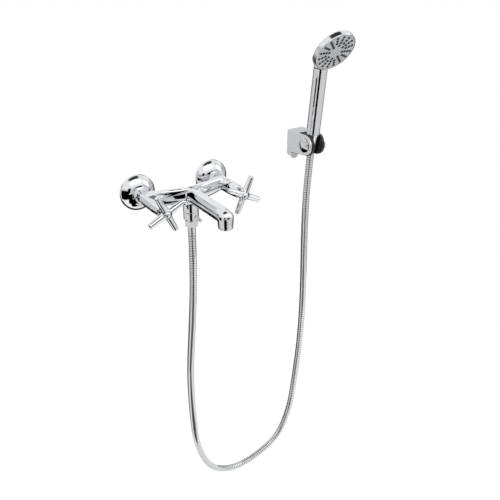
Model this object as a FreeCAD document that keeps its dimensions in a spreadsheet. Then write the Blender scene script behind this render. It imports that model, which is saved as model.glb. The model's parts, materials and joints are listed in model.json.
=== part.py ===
import FreeCAD, Part

import math
import os

import Sketcher

# Wall bath mixer with two cross handles, a shower hose, a hand shower and its wall bracket.
# Millimetres: X runs right along the wall, -Y runs out of the wall, Z is up. The origin lies on
# the wall, midway between the two inlet tails. A station "out" is a distance from the wall.

DIMENSIONS = (
    # Fits between pieces
    ("fit_gap", 0.3),
    ("seat_gap", 0.1),
    ("running_gap", 0.05),
    # Wall unions and their covers
    ("inlet_spacing", 150),
    ("union_offset", 8),
    ("wall_thread_radius", 10.48),
    ("wall_thread_depth", 14),
    ("wall_neck_radius", 11),
    ("wall_neck_length", 8),
    ("wall_bore", 7),
    ("union_thread_radius", 13.22),
    ("union_thread_length", 23.5),
    ("union_bore", 8),
    ("union_web", 2.5),
    ("rose_radius", 32.2),
    ("rose_wall", 1),
    ("rose_band", 6),
    ("rose_depth", 19.2),
    ("rose_crown", 26),
    ("union_nut_out", 20),
    ("union_nut_length", 11),
    ("union_nut_flats", 29.5),
    ("union_nut_lip", 2.7),
    ("union_nut_chamfer", 1.6),
    ("tail_flange_radius", 12.9),
    ("tail_flange_thickness", 2.4),
    ("tail_tube_radius", 9.4),
    ("tail_tube_length", 7.6),
    ("tail_bore", 7.5),
    ("inlet_washer_thickness", 1.6),
    # Mixer body
    ("barrel_radius", 12),
    ("barrel_out", 31.4),
    ("barrel_front", 78),
    ("blade_height", 10.5),
    ("seat_out", 36),
    ("seat_web", 2.5),
    ("seat_hole", 5.5),
    ("cartridge_bore", 8.9),
    ("bar_rear_out", 52),
    ("bar_rear_sweep", 0.36),
    ("bar_front_out", 67.7),
    ("bar_front_sweep", 0.27),
    ("bar_apex_softness", 18),
    ("bar_belly_radius", 12),
    ("bar_belly_drop", 3.5),
    ("bar_end_taper", 0.12),
    ("bar_bore", 6),
    ("spout_blade_half_width", 7),
    ("spout_belly_radius", 12.5),
    ("spout_belly_drop", 2),
    ("spout_crease_run", 13),
    ("spout_bore", 6.5),
    ("spout_bore_drop", 3),
    ("spout_root", 4),
    ("nozzle_out", 176),
    ("nozzle_radius", 13.5),
    ("nozzle_mouth_radius", 12.5),
    ("nozzle_mouth_drop", 17.5),
    ("nozzle_mouth_bore", 11.6),
    ("nozzle_bore_top", 7),
    # Aerator
    ("aerator_ring_radius", 12.15),
    ("aerator_ring_height", 3.8),
    ("aerator_thread_length", 8.5),
    ("aerator_bore", 10),
    ("aerator_lip", 0.8),
    ("aerator_lip_height", 1),
    ("aerator_washer_thickness", 1.7),
    # Headwork, one in each barrel
    ("headwork_radius", 8.7),
    ("headwork_cavity", 7.5),
    ("headwork_cavity_depth", 13.3),
    ("headwork_flange_radius", 9.4),
    ("headwork_flange_thickness", 1.7),
    ("headwork_hex_flats", 16),
    ("headwork_hex_length", 7),
    ("headwork_neck_radius", 8),
    ("headwork_neck_setback", 14),
    ("headwork_window_width", 10),
    ("headwork_window_length", 6),
    ("seat_seal_thickness", 2.8),
    ("disc_thickness", 2.8),
    ("disc_port", 2.1),
    ("disc_port_radius", 4.2),
    ("carrier_thickness", 4.2),
    ("spindle_radius", 4),
    ("spindle_setback", 3),
    ("spindle_hole_depth", 10),
    ("spindle_groove", 2.8),
    ("spindle_groove_width", 1.6),
    ("spindle_ring_setback", 26.2),
    ("screw_radius", 1.95),
    ("screw_hole", 2.05),
    ("clip_groove_depth", 0.8),
    ("clip_radius", 5.6),
    ("clip_thickness", 1),
    ("cover_setback", 13),
    ("cover_nose_radius", 9),
    ("cover_nose_bend", 6),
    ("cover_wall", 1),
    ("cover_web", 3),
    ("cover_nose_length", 4),
    # Cross handles
    ("hub_back_run", 11.8),
    ("hub_front_run", 2.5),
    ("handle_turn", 25.8),
    ("hub_back_radius", 8.8),
    ("hub_front_radius", 7),
    ("hub_waist_rise", 6.8),
    ("hub_waist_bend", 30),
    ("arm_out", 117),
    ("arm_reach", 36.1),
    ("arm_root_radius", 6),
    ("arm_tip_radius", 4.8),
    ("cap_radius", 6.2),
    ("cap_height", 5.4),
    ("cap_plug_radius", 4.1),
    ("cap_plug_length", 1.6),
    ("screw_head_radius", 3.6),
    ("screw_head_height", 2),
    ("handle_web", 1),
    # Diverter under the body
    ("diverter_out", 58.5),
    ("boss_radius", 14),
    ("boss_drop", 32),
    ("boss_shoulder_drop", 13),
    ("boss_crown_rise", 12),
    ("boss_crown_bend", 16),
    ("boss_bore", 10.7),
    ("outlet_top_drop", 20),
    ("outlet_radius", 10.6),
    ("outlet_end_drop", 54.5),
    ("outlet_bore", 7.45),
    ("outlet_throat", 6),
    ("ring_radius", 13.8),
    ("ring_bottom_drop", 48),
    ("ring_round", 1.6),
    ("lever_drop", 38),
    ("lever_radius", 1.8),
    ("lever_stem_flare", 0.6),
    ("lever_bend_reach", 14.8),
    ("lever_swing", 90),
    ("lever_slot_angle", 130),
    ("lever_knob_radius", 3.2),
    ("lever_knob_reach", 22.9),
    ("lever_knob_drop", 45),
    ("lever_azimuth", 15),
    ("spool_top_drop", 24),
    ("spool_bottom_drop", 44),
    ("spool_radius", 7.4),
    ("spool_bore", 3.5),
    ("spool_groove", 1.6),
    ("spool_top_land", 3),
    ("spool_bottom_land", 2),
    ("outlet_clip_radius", 12),
    ("outlet_clip_groove", 0.9),
    ("outlet_clip_thickness", 0.9),
    # Hose and its couplings
    ("coupling_thread_radius", 10.48),
    ("coupling_bore", 10.6),
    ("hose_nut_flats", 22.4),
    ("hose_nut_top_drop", 49.6),
    ("hose_nut_length", 11.9),
    ("hose_nut_lip", 3),
    ("hose_washer_thickness", 1.8),
    ("sleeve_flange_radius", 9.8),
    ("sleeve_flange_thickness", 1.9),
    ("sleeve_radius", 7.15),
    ("sleeve_bore", 4.5),
    ("hose_exit_drop", 76),
    ("hose_radius", 7),
    ("hose_valley_radius", 6.4),
    ("hose_bore", 4.5),
    ("hose_exit_run", 78),
    # Hand shower, measured along its own axis from the bracket pivot
    ("pivot_x", 275),
    ("pivot_out", 54.5),
    ("pivot_height", 35),
    ("handset_tilt", 5.38),
    ("cone_bottom", -11),
    ("cone_top", 21.5),
    ("cone_bottom_radius", 8),
    ("cone_top_radius", 12.2),
    ("cone_lip_top", 11.8),
    ("cone_thread_bore", 10.45),
    ("handle_thread_radius", 10.35),
    ("handle_thread_bottom", 15.5),
    ("handle_thread_bore", 6.5),
    ("grip_radius", 13),
    ("grip_bottom", 21.8),
    ("grip_top", 147),
    ("grip_wall", 1.6),
    ("grip_floor", 4.2),
    ("grip_edge_round", 0.5),
    ("waterway_radius", 7.5),
    ("waterway_bore", 5.5),
    ("waterway_top", 152),
    ("restrictor_thickness", 3),
    ("restrictor_hole", 2),
    ("neck_seal_thickness", 1.1),
    ("spigot_length", 8),
    ("face_edge_forward", 14.9),
    ("face_edge_rise", 0.2),
    ("face_pitch", 60),
    ("face_radius", 40.2),
    ("face_band", 10.5),
    ("face_crown", 24),
    ("face_rim", 1.7),
    ("face_edge_round", 1.3),
    ("neck_kick", 7),
    ("neck_kick_rise", 11),
    ("neck_seat_back", 37),
    ("neck_seat_drop", 11.7),
    ("neck_end_back", 29),
    ("duct_length", 38),
    ("shell_wall", 2.4),
    ("plate_recess", 0.8),
    ("plate_thickness", 2.2),
    ("nozzle_mat_thickness", 1.5),
    ("nozzle_pin_radius", 1.45),
    ("nozzle_pin_proud", 0.6),
    ("nozzle_first_radius", 14.5),
    ("nozzle_pitch", 6.2),
    # Wall bracket, measured from the pivot
    ("yoke_width", 38),
    ("yoke_plate", 3.2),
    ("yoke_rise", 19.6),
    ("yoke_fall", 32),
    ("yoke_front_radius", 20),
    ("yoke_web_out", 31),
    ("yoke_arch_start", 33),
    ("yoke_arch_drop", 2.5),
    ("yoke_foot_length", 11.5),
    ("yoke_foot_lift", 1.5),
    ("yoke_foot_corner", 7),
    ("yoke_arch_bend", 10),
    ("wall_plate_fall", 27),
    ("wall_plate_thickness", 3),
    ("wall_plate_tab_half_width", 10),
    ("wall_plate_tab_bottom", 43),
    ("bracket_screw_spacing", 28),
    ("bracket_screw_drop", 6),
    ("bracket_screw_radius", 2),
    ("bracket_screw_neck_radius", 2.6),
    ("bracket_screw_length", 20),
    ("bracket_screw_head_radius", 4),
    ("bracket_screw_head_height", 2.2),
    ("drum_radius", 21.2),
    ("drum_flat", 20.2),
    ("drum_side_gap", 0.6),
    ("drum_slot_width", 19),
    ("pivot_stub_radius", 4),
    ("pivot_stub_depth", 4.5),
    ("pivot_knob_radius", 13.8),
    ("pivot_knob_height", 4.5),
    ("pivot_knob_groove", 1),
    ("pivot_knob_step", 2.2),
)

# How far a cutting tool runs past the face that it opens
OVERCUT = 1

# Counts and shares that are not lengths
HANDLE_ARMS = 4
NOZZLE_ROWS = 8
HOSE_RIBS = 200
CORNER_SHARE = 0.45
RIB_STATIONS = ((0.0, False), (0.15, True), (0.7, True), (0.85, False))

doc = FreeCAD.newDocument("bath_mixer")
sheet = doc.addObject("Spreadsheet::Sheet", "dims")
for row, (alias, value) in enumerate(DIMENSIONS, 1):
    sheet.set("A%d" % row, alias)
    sheet.set("B%d" % row, str(value))
    sheet.setAlias("B%d" % row, alias)
doc.recompute()


def number(quantity):
    return quantity.value if isinstance(quantity, Size) else float(quantity)


def text(quantity):
    return quantity.text if isinstance(quantity, Size) else repr(float(quantity))


class Size:
    """A length that carries both its value and the spreadsheet formula that gives it."""

    def __init__(self, value, formula):
        self.value = value
        self.text = formula

    def __add__(self, other):
        return Size(self.value + number(other), "(%s + %s)" % (self.text, text(other)))

    def __radd__(self, other):
        return Size(number(other) + self.value, "(%s + %s)" % (text(other), self.text))

    def __sub__(self, other):
        return Size(self.value - number(other), "(%s - %s)" % (self.text, text(other)))

    def __rsub__(self, other):
        return Size(number(other) - self.value, "(%s - %s)" % (text(other), self.text))

    def __mul__(self, other):
        return Size(self.value * number(other), "(%s * %s)" % (self.text, text(other)))

    def __rmul__(self, other):
        return Size(number(other) * self.value, "(%s * %s)" % (text(other), self.text))

    def __truediv__(self, other):
        return Size(self.value / number(other), "(%s / %s)" % (self.text, text(other)))

    def __neg__(self):
        return Size(-self.value, "(0 - %s)" % self.text)


class Sheet:
    """Reads a driving dimension from the spreadsheet by its alias."""

    def __getattr__(self, alias):
        return Size(float(sheet.get(alias)), "dims." + alias)


d = Sheet()
UPRIGHT = FreeCAD.Rotation()
OUT_OF_WALL = FreeCAD.Rotation(FreeCAD.Vector(1, 0, 0), 90)
UP = FreeCAD.Vector(0, 0, 1)
sub_parts = []
cuts = []


def keep(piece):
    """Lists a finished sub-part for export."""
    sub_parts.append(piece)
    return piece


def place(piece, x, y, z, rotation=UPRIGHT):
    """Puts a piece at a point whose coordinates stay bound to the spreadsheet."""
    piece.Placement = FreeCAD.Placement(FreeCAD.Vector(number(x), number(y), number(z)), rotation)
    for axis, quantity in zip("xyz", (x, y, z)):
        if isinstance(quantity, Size):
            piece.setExpression("Placement.Base." + axis, quantity.text)
    return piece


def bind(piece, prop, quantity):
    if isinstance(quantity, Size):
        piece.setExpression(prop, quantity.text)
    else:
        setattr(piece, prop, quantity)


def outline(body, plane_role, corners):
    """Sketches a closed outline on one of the body's origin planes.

    A corner is (across, along), or (across, along, bend): the edge that arrives there is then an
    arc of that radius, bulging out of the outline where it is positive and into it where it is
    negative. Corners run anticlockwise.
    """
    sketch = body.newObject("Sketcher::SketchObject", body.Label + "_outline")
    plane = [feature for feature in body.Origin.OriginFeatures if feature.Role == plane_role][0]
    sketch.AttachmentSupport = [(plane, "")]
    sketch.MapMode = "FlatFace"
    points = [FreeCAD.Vector(number(corner[0]), number(corner[1]), 0) for corner in corners]
    count = len(points)
    edges = []
    for index in range(count):
        start = points[index]
        end = points[(index + 1) % count]
        target = corners[(index + 1) % count]
        if len(target) == 2:
            edges.append((sketch.addGeometry(Part.LineSegment(start, end), False), 1, 2))
            continue
        radius = number(target[2])
        chord = end - start
        offset = math.sqrt(max(radius ** 2 - (chord.Length / 2) ** 2, 0))
        normal = FreeCAD.Vector(-chord.y, chord.x, 0).normalize()
        centre = (start + end) * 0.5 + normal * math.copysign(offset, radius)
        first = math.atan2(start.y - centre.y, start.x - centre.x)
        last = math.atan2(end.y - centre.y, end.x - centre.x)
        circle = Part.Circle(centre, UP, abs(radius))
        if radius > 0:
            edge = (sketch.addGeometry(Part.ArcOfCircle(circle, first, last), False), 1, 2)
        else:
            edge = (sketch.addGeometry(Part.ArcOfCircle(circle, last, first), False), 2, 1)
        edges.append(edge)
        rule = sketch.addConstraint(Sketcher.Constraint("Radius", edge[0], abs(radius)))
        if isinstance(target[2], Size):
            bend = target[2] if radius > 0 else -target[2]
            sketch.setExpression("Constraints[%d]" % rule, bend.text)
    for index in range(count):
        geometry, _, end_point = edges[index]
        following, start_point, _ = edges[(index + 1) % count]
        sketch.addConstraint(
            Sketcher.Constraint("Coincident", geometry, end_point, following, start_point))
    for corner, (geometry, start_point, _) in zip(corners, edges):
        for kind, quantity, axis in (("DistanceX", corner[0], -2), ("DistanceY", corner[1], -1)):
            if not isinstance(quantity, Size) and quantity == 0:
                sketch.addConstraint(
                    Sketcher.Constraint("PointOnObject", geometry, start_point, axis))
                continue
            rule = sketch.addConstraint(
                Sketcher.Constraint(kind, -1, 1, geometry, start_point, number(quantity)))
            if isinstance(quantity, Size):
                sketch.setExpression("Constraints[%d]" % rule, quantity.text)
    return sketch


def turned(label, corners):
    """A piece turned about its own Z axis; corners are (radius, station)."""
    body = doc.addObject("PartDesign::Body", label)
    sketch = outline(body, "XZ_Plane", corners)
    turn = body.newObject("PartDesign::Revolution", label + "_turn")
    turn.Profile = sketch
    turn.ReferenceAxis = (sketch, ["V_Axis"])
    turn.Angle = 360
    body.Tip = turn
    return body


def sleeve(label, bore, radius, low, high):
    """A plain turned tube or washer."""
    return turned(label, ((bore, low), (radius, low), (radius, high), (bore, high)))


def rod(label, radius, low, high):
    """A plain turned rod or disc."""
    return turned(label, ((0, low), (radius, low), (radius, high), (0, high)))


def plate(label, plane_role, corners, thickness, middle=False):
    """A flat outline padded to a thickness."""
    body = doc.addObject("PartDesign::Body", label)
    sketch = outline(body, plane_role, corners)
    pad = body.newObject("PartDesign::Pad", label + "_pad")
    pad.Profile = sketch
    pad.SideType = "Symmetric" if middle else "One side"
    bind(pad, "Length", thickness)
    body.Tip = pad
    return body


def cylinder(label, radius, length, x, y, z, direction=UP):
    piece = doc.addObject("Part::Cylinder", label)
    bind(piece, "Radius", radius)
    bind(piece, "Height", length)
    return place(piece, x, y, z, FreeCAD.Rotation(UP, direction))


def block(label, width, depth, height, x, y, z):
    """A box given by its lowest corner."""
    piece = doc.addObject("Part::Box", label)
    bind(piece, "Length", width)
    bind(piece, "Width", depth)
    bind(piece, "Height", height)
    return place(piece, x, y, z)


def hexagon(label, across_flats, height, low):
    piece = doc.addObject("Part::Prism", label)
    piece.Polygon = 6
    bind(piece, "Circumradius", across_flats / math.sqrt(3))
    bind(piece, "Height", height)
    return place(piece, 0, 0, low)


def fused(label, *pieces):
    piece = doc.addObject("Part::MultiFuse", label)
    piece.Shapes = list(pieces)
    piece.Refine = True
    return piece


def common(label, base, tool):
    piece = doc.addObject("Part::Common", label)
    piece.Base = base
    piece.Tool = tool
    return piece


def cut(label, base, *tools):
    """Takes tools out of a base; the volume is compared later, so that no tool misses."""
    piece = doc.addObject("Part::Cut", label)
    piece.Base = base
    piece.Tool = tools[0] if len(tools) == 1 else fused(label + "_tools", *tools)
    piece.Refine = True
    cuts.append(piece)
    return piece


def group(label, *pieces):
    """Identical pieces that share one node as separate solids."""
    piece = doc.addObject("Part::Compound", label)
    piece.Links = list(pieces)
    return piece


def feature(label, shape):
    piece = doc.addObject("Part::Feature", label)
    piece.Shape = shape
    return piece


# Wall unions: an offset brass tail in the wall, a domed cover and the nut that draws the body on

axis_z = -d.union_offset
nut_shoulder = d.union_nut_out + d.union_nut_length - d.union_nut_lip
tail_flange_front = nut_shoulder - d.seat_gap
tail_flange_back = tail_flange_front - d.tail_flange_thickness
union_front = tail_flange_back - d.inlet_washer_thickness - 2 * d.seat_gap


def wall_union(label):
    """Cast S-shaped union: the wall thread stands above the body's axis by the offset."""
    wall_thread = cylinder(label + "_wall_thread", d.wall_thread_radius, d.wall_thread_depth,
                           0, d.union_offset, -d.wall_thread_depth)
    wall_neck = cylinder(label + "_wall_neck", d.wall_neck_radius, d.wall_neck_length,
                         0, d.union_offset, 0)
    body_thread = cylinder(label + "_body_thread", d.union_thread_radius,
                           union_front - d.seat_gap, 0, 0, d.seat_gap)
    wall_bore = cylinder(label + "_wall_bore", d.wall_bore,
                         d.wall_thread_depth + d.wall_neck_length,
                         0, d.union_offset, -d.wall_thread_depth - OVERCUT)
    body_bore = cylinder(label + "_body_bore", d.union_bore, d.union_thread_length,
                         0, 0, d.union_web + d.seat_gap)
    casting = fused(label + "_casting", wall_thread, wall_neck, body_thread)
    return cut(label, casting, wall_bore, body_bore)


def escutcheon(label):
    """Pressed dome that hides the hole in the wall."""
    hole = d.union_thread_radius + d.fit_gap
    inside = d.rose_radius - d.rose_wall
    return turned(label, (
        (inside, 0), (d.rose_radius, 0), (d.rose_radius, d.rose_band),
        (hole, d.rose_depth, d.rose_crown),
        (hole, d.rose_depth - d.rose_wall),
        (inside, d.rose_band, d.rose_wall - d.rose_crown)))


def chamfered_hex(label, across_flats, low, height, chamfer, bore_corners):
    """A hexagon with turned ends; bore_corners run up the inside from the bottom."""
    corner = across_flats / math.sqrt(3)
    blank = turned(label + "_blank", (
        (0, low), (corner - chamfer, low), (corner, low + chamfer / 2),
        (corner, low + height - chamfer / 2), (corner - chamfer, low + height),
        (0, low + height)))
    hexed = common(label + "_hex", blank, hexagon(label + "_prism", across_flats, height, low))
    bore = turned(label + "_bore", ((0, bore_corners[0][1]),) + bore_corners
                  + ((0, bore_corners[-1][1]),))
    return cut(label, hexed, bore)


def union_nut(label):
    thread = d.union_thread_radius + d.fit_gap / 2
    lip = d.tail_tube_radius + d.fit_gap
    return chamfered_hex(label, d.union_nut_flats, d.union_nut_out, d.union_nut_length,
                         d.union_nut_chamfer, (
                             (thread, d.union_nut_out - OVERCUT), (thread, nut_shoulder),
                             (lip, nut_shoulder),
                             (lip, d.union_nut_out + d.union_nut_length + OVERCUT)))


def inlet_tail(label):
    """Flanged tail, screwed into the back of the barrel."""
    return turned(label, (
        (d.tail_bore, tail_flange_back), (d.tail_flange_radius, tail_flange_back),
        (d.tail_flange_radius, tail_flange_front), (d.tail_tube_radius, tail_flange_front),
        (d.tail_tube_radius, tail_flange_front + d.tail_tube_length),
        (d.tail_bore, tail_flange_front + d.tail_tube_length)))


# Headworks: a brass cartridge with two ceramic discs, its spindle and its cover

cartridge_back = d.seat_out + d.seat_web + d.seat_gap
headwork_neck_front = d.arm_out - d.headwork_neck_setback
spindle_front = d.arm_out - d.spindle_setback
spindle_ring_out = d.arm_out - d.spindle_ring_setback
cover_front = d.arm_out - d.cover_setback
handle_back = d.arm_out - d.hub_back_run
handle_front = d.arm_out + d.hub_front_run
disc_back = cartridge_back + d.seat_seal_thickness + d.seat_gap
moving_back = disc_back + d.disc_thickness + d.seat_gap
carrier_back = moving_back + d.disc_thickness + d.seat_gap
carrier_front = carrier_back + d.carrier_thickness
cavity_front = cartridge_back + d.headwork_cavity_depth
hex_back = d.barrel_front + d.running_gap + d.headwork_flange_thickness
hex_front = hex_back + d.headwork_hex_length
moving_radius = d.headwork_cavity - d.fit_gap
clip_back = headwork_neck_front + d.seat_gap


def headwork_body(label):
    flange_back = d.barrel_front + d.running_gap
    shell = turned(label + "_shell", (
        (0, cavity_front), (d.headwork_cavity, cavity_front),
        (d.headwork_cavity, cartridge_back), (d.headwork_radius, cartridge_back),
        (d.headwork_radius, flange_back), (d.headwork_flange_radius, flange_back),
        (d.headwork_flange_radius, hex_back), (d.headwork_neck_radius, hex_back),
        (d.headwork_neck_radius, headwork_neck_front), (0, headwork_neck_front)))
    hexed = fused(label + "_hexed", shell,
                  hexagon(label + "_hex", d.headwork_hex_flats, d.headwork_hex_length, hex_back))
    stem_bore = cylinder(label + "_stem_bore", d.spindle_radius + d.running_gap,
                         headwork_neck_front - cavity_front + 2 * OVERCUT,
                         0, 0, cavity_front - OVERCUT)
    reach = d.headwork_radius + OVERCUT
    window = block(label + "_window", 2 * reach, d.headwork_window_width,
                   d.headwork_window_length, -reach, -d.headwork_window_width / 2,
                   moving_back)
    return cut(label, hexed, stem_bore, window)


def seat_seal(label):
    return sleeve(label, d.seat_hole, moving_radius, cartridge_back,
                  cartridge_back + d.seat_seal_thickness)


def ceramic_disc(label, low, across):
    """A disc with two ports; across turns them a quarter turn, which shuts the valve."""
    disc = rod(label + "_blank", moving_radius, low, low + d.disc_thickness)
    ports = []
    for side in (-1, 1):
        shift = side * d.disc_port_radius
        x, y = (shift, 0) if across else (0, shift)
        ports.append(cylinder("%s_port_%d" % (label, side + 1), d.disc_port,
                              d.disc_thickness + 2 * OVERCUT, x, y, low - OVERCUT))
    return cut(label, disc, *ports)


def spindle(label):
    groove_back = spindle_ring_out - d.spindle_groove_width / 2
    groove_front = spindle_ring_out + d.spindle_groove_width / 2
    clip_groove = d.clip_thickness + d.seat_gap
    shank_back = spindle_front - d.spindle_hole_depth
    clip_seat = d.spindle_radius - d.clip_groove_depth
    return turned(label, (
        (0, carrier_back), (moving_radius, carrier_back), (moving_radius, carrier_front),
        (d.spindle_radius, carrier_front), (d.spindle_radius, groove_back),
        (d.spindle_groove, groove_back), (d.spindle_groove, groove_front),
        (d.spindle_radius, groove_front), (d.spindle_radius, clip_back - d.seat_gap),
        (clip_seat, clip_back - d.seat_gap),
        (clip_seat, clip_back + clip_groove),
        (d.spindle_radius - d.running_gap, clip_back + clip_groove),
        (d.spindle_radius - d.running_gap, spindle_front),
        (d.screw_hole, spindle_front), (d.screw_hole, shank_back), (0, shank_back)))


def o_ring(label, bore_radius, groove_radius, station):
    """A rubber ring that fills the space between its groove and the bore."""
    ring = doc.addObject("Part::Torus", label)
    section = (bore_radius - groove_radius) / 2
    bind(ring, "Radius1", groove_radius + section)
    bind(ring, "Radius2", section)
    return place(ring, 0, 0, station)


def spindle_clip(label):
    """Open snap ring that keeps the spindle in its body."""
    inner = d.spindle_radius - d.clip_groove_depth + d.seat_gap
    ring = sleeve(label + "_ring", inner, d.clip_radius, clip_back, clip_back + d.clip_thickness)
    mouth = block(label + "_mouth", 2 * inner, d.clip_radius + OVERCUT,
                  d.clip_thickness + 2 * OVERCUT, -inner, 0, clip_back - OVERCUT)
    return cut(label, ring, mouth)


def bonnet_cover(label):
    """Tapered shroud screwed on the neck; the body's flat runs out along its top."""
    back = d.barrel_front + d.fit_gap
    inside = d.blade_height - d.cover_wall
    neck_hole = d.headwork_neck_radius + d.seat_gap
    web_back = cover_front - d.cover_web
    shroud = turned(label + "_shroud", (
        (inside, back), (d.barrel_radius, back), (d.blade_height, cover_front - d.cover_nose_length),
        (d.cover_nose_radius, cover_front, d.cover_nose_bend), (neck_hole, cover_front),
        (neck_hole, web_back), (inside, web_back)))
    reach = d.barrel_radius + OVERCUT
    flat = block(label + "_flat", 2 * reach, reach, cover_front - back + 2 * OVERCUT,
                 -reach, d.blade_height, back - OVERCUT)
    return cut(label, shroud, flat)


# Cross handles: a hub with four tapered arms, held by a screw under a domed cap

cap_seat = handle_front + d.seat_gap
screw_seat = spindle_front + 2 * d.fit_gap + d.handle_web


def cross_handle(label):
    waist = handle_back + d.hub_waist_rise
    hub = turned(label + "_hub", (
        (0, handle_back), (d.hub_back_radius, handle_back),
        (d.hub_front_radius, waist, -d.hub_waist_bend), (d.hub_front_radius, handle_front),
        (0, handle_front)))
    pieces = [hub]
    root = d.hub_front_radius / 2
    tip = d.arm_reach - d.arm_tip_radius
    for index in range(HANDLE_ARMS):
        angle = 2 * math.pi * index / HANDLE_ARMS
        direction = FreeCAD.Vector(round(math.cos(angle)), round(math.sin(angle)), 0)
        arm = doc.addObject("Part::Cone", "%s_arm_%d" % (label, index))
        bind(arm, "Radius1", d.arm_root_radius)
        bind(arm, "Radius2", d.arm_tip_radius)
        bind(arm, "Height", tip - root)
        place(arm, root * direction.x, root * direction.y, d.arm_out,
              FreeCAD.Rotation(UP, direction))
        end = doc.addObject("Part::Sphere", "%s_tip_%d" % (label, index))
        bind(end, "Radius", d.arm_tip_radius)
        place(end, tip * direction.x, tip * direction.y, d.arm_out)
        pieces += [arm, end]
    clear_front = handle_front + d.cap_height
    socket = turned(label + "_socket", (
        (0, handle_back - OVERCUT), (d.spindle_radius, handle_back - OVERCUT),
        (d.spindle_radius, spindle_front + d.fit_gap),
        (d.screw_hole, spindle_front + d.fit_gap), (d.screw_hole, screw_seat),
        (d.cap_plug_radius + d.seat_gap, screw_seat),
        (d.cap_plug_radius + d.seat_gap, handle_front),
        (d.cap_radius + d.fit_gap, handle_front),
        (d.cap_radius + d.fit_gap, clear_front), (0, clear_front)))
    return cut(label, fused(label + "_cross", *pieces), socket)


def handle_screw(label):
    head_back = screw_seat + d.seat_gap
    return turned(label, (
        (0, handle_back), (d.screw_radius, handle_back), (d.screw_radius, head_back),
        (d.screw_head_radius, head_back),
        (d.screw_head_radius, head_back + d.screw_head_height),
        (0, head_back + d.screw_head_height)))


def hub_cap(label):
    crown = (d.cap_radius * d.cap_radius + d.cap_height * d.cap_height) / (2 * d.cap_height)
    return turned(label, (
        (0, cap_seat - d.cap_plug_length), (d.cap_plug_radius, cap_seat - d.cap_plug_length),
        (d.cap_plug_radius, cap_seat), (d.cap_radius, cap_seat),
        (0, cap_seat + d.cap_height, crown)))


inlet_washers = []
seat_seals = []
fixed_discs = []
for name, side in (("hot", -1), ("cold", 1)):
    x = side * d.inlet_spacing / 2
    fixed = (wall_union(name + "_union"), escutcheon(name + "_escutcheon"),
             union_nut(name + "_union_nut"), inlet_tail(name + "_inlet_tail"),
             headwork_body(name + "_headwork"), bonnet_cover(name + "_bonnet_cover"))
    for piece in fixed:
        keep(place(piece, x, 0, axis_z, OUT_OF_WALL))
    washer_back = union_front + d.seat_gap
    washer = sleeve(name + "_inlet_washer", d.union_bore, d.tail_flange_radius - d.seat_gap,
                    washer_back, washer_back + d.inlet_washer_thickness)
    inlet_washers.append(place(washer, x, 0, axis_z, OUT_OF_WALL))
    seat_seals.append(place(seat_seal(name + "_seat_seal"), x, 0, axis_z, OUT_OF_WALL))
    disc = ceramic_disc(name + "_fixed_disc", disc_back, True)
    fixed_discs.append(place(disc, x, 0, axis_z, OUT_OF_WALL))
    turning = (ceramic_disc(name + "_moving_disc", moving_back, False),
               spindle(name + "_spindle"),
               spindle_clip(name + "_spindle_clip"), handle_screw(name + "_handle_screw"),
               hub_cap(name + "_hub_cap"))
    for piece in turning:
        keep(place(piece, x, 0, axis_z, OUT_OF_WALL))
    ring = o_ring(name + "_spindle_oring", d.spindle_radius, d.spindle_groove,
                  spindle_ring_out)
    keep(place(ring, x, -spindle_ring_out, axis_z, OUT_OF_WALL))
    turn = FreeCAD.Rotation(FreeCAD.Vector(0, -1, 0), -side * number(d.handle_turn))
    keep(place(cross_handle(name + "_handle"), x, 0, axis_z, turn.multiply(OUT_OF_WALL)))
keep(group("inlet_washers", *inlet_washers))
keep(group("seat_seals", *seat_seals))
keep(group("fixed_discs", *fixed_discs))


# Mixer body: one casting, with a flat blade on top and round bellies below

def flank_angle(half_width, blade_height, belly_radius, belly_height):
    """Where the straight flank from the blade's edge touches the belly circle."""
    rise = blade_height - belly_height
    return math.atan2(rise, half_width) - math.acos(belly_radius / math.hypot(rise, half_width))


def bladed_section(centre, across, half_width, belly_radius, belly_height):
    """Upright section: flat blade, two straight flanks and a round belly in two arcs."""
    height = number(d.blade_height)
    flank = flank_angle(half_width, height, belly_radius, belly_height)

    def spot(sideways, up):
        return centre + across * sideways + UP * up

    def belly(angle):
        return spot(belly_radius * math.cos(angle), belly_height + belly_radius * math.sin(angle))

    low = -math.pi / 2
    right = spot(half_width, height)
    left = spot(-half_width, height)
    return Part.Wire([
        Part.makeLine(left, right),
        Part.makeLine(right, belly(flank)),
        Part.Arc(belly(flank), belly((flank + low) / 2), belly(low)).toShape(),
        Part.Arc(belly(low), belly((3 * low - flank) / 2), belly(-math.pi - flank)).toShape(),
        Part.makeLine(belly(-math.pi - flank), left)])


def round_section(centre, across, radius, height, shoulder, flank):
    """The same five edges on one circle, where the blade has run out."""

    def spot(angle):
        return centre + across * (radius * math.cos(angle)) + UP * (height + radius * math.sin(angle))

    low = -math.pi / 2
    stops = (math.pi - shoulder, shoulder, flank, low, -math.pi - flank, -math.pi - shoulder)
    edges = []
    for start, end in zip(stops, stops[1:]):
        edges.append(Part.Arc(spot(start), spot((start + end) / 2), spot(end)).toShape())
    return Part.Wire(edges)


def bar_skin():
    """Gull-wing bar between the barrels, swept back to each side of the middle."""
    half = number(d.inlet_spacing) / 2
    soft = number(d.bar_apex_softness)
    sections = []
    for share in (-0.96, -0.75, -0.5, -0.25, 0, 0.25, 0.5, 0.75, 0.96):
        x = share * half
        sweep = math.hypot(x, soft) - soft
        rear = number(d.bar_rear_out) - number(d.bar_rear_sweep) * sweep
        front = number(d.bar_front_out) - number(d.bar_front_sweep) * sweep
        belly_height = -number(d.bar_belly_drop) * (1 - share ** 4)
        belly_radius = number(d.bar_belly_radius) * (1 - number(d.bar_end_taper) * share ** 4)
        centre = FreeCAD.Vector(x, -(rear + front) / 2, number(axis_z))
        sections.append(bladed_section(centre, FreeCAD.Vector(0, -1, 0), (front - rear) / 2,
                                       belly_radius, belly_height))
    return Part.makeLoft(sections, True, False)


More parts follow.
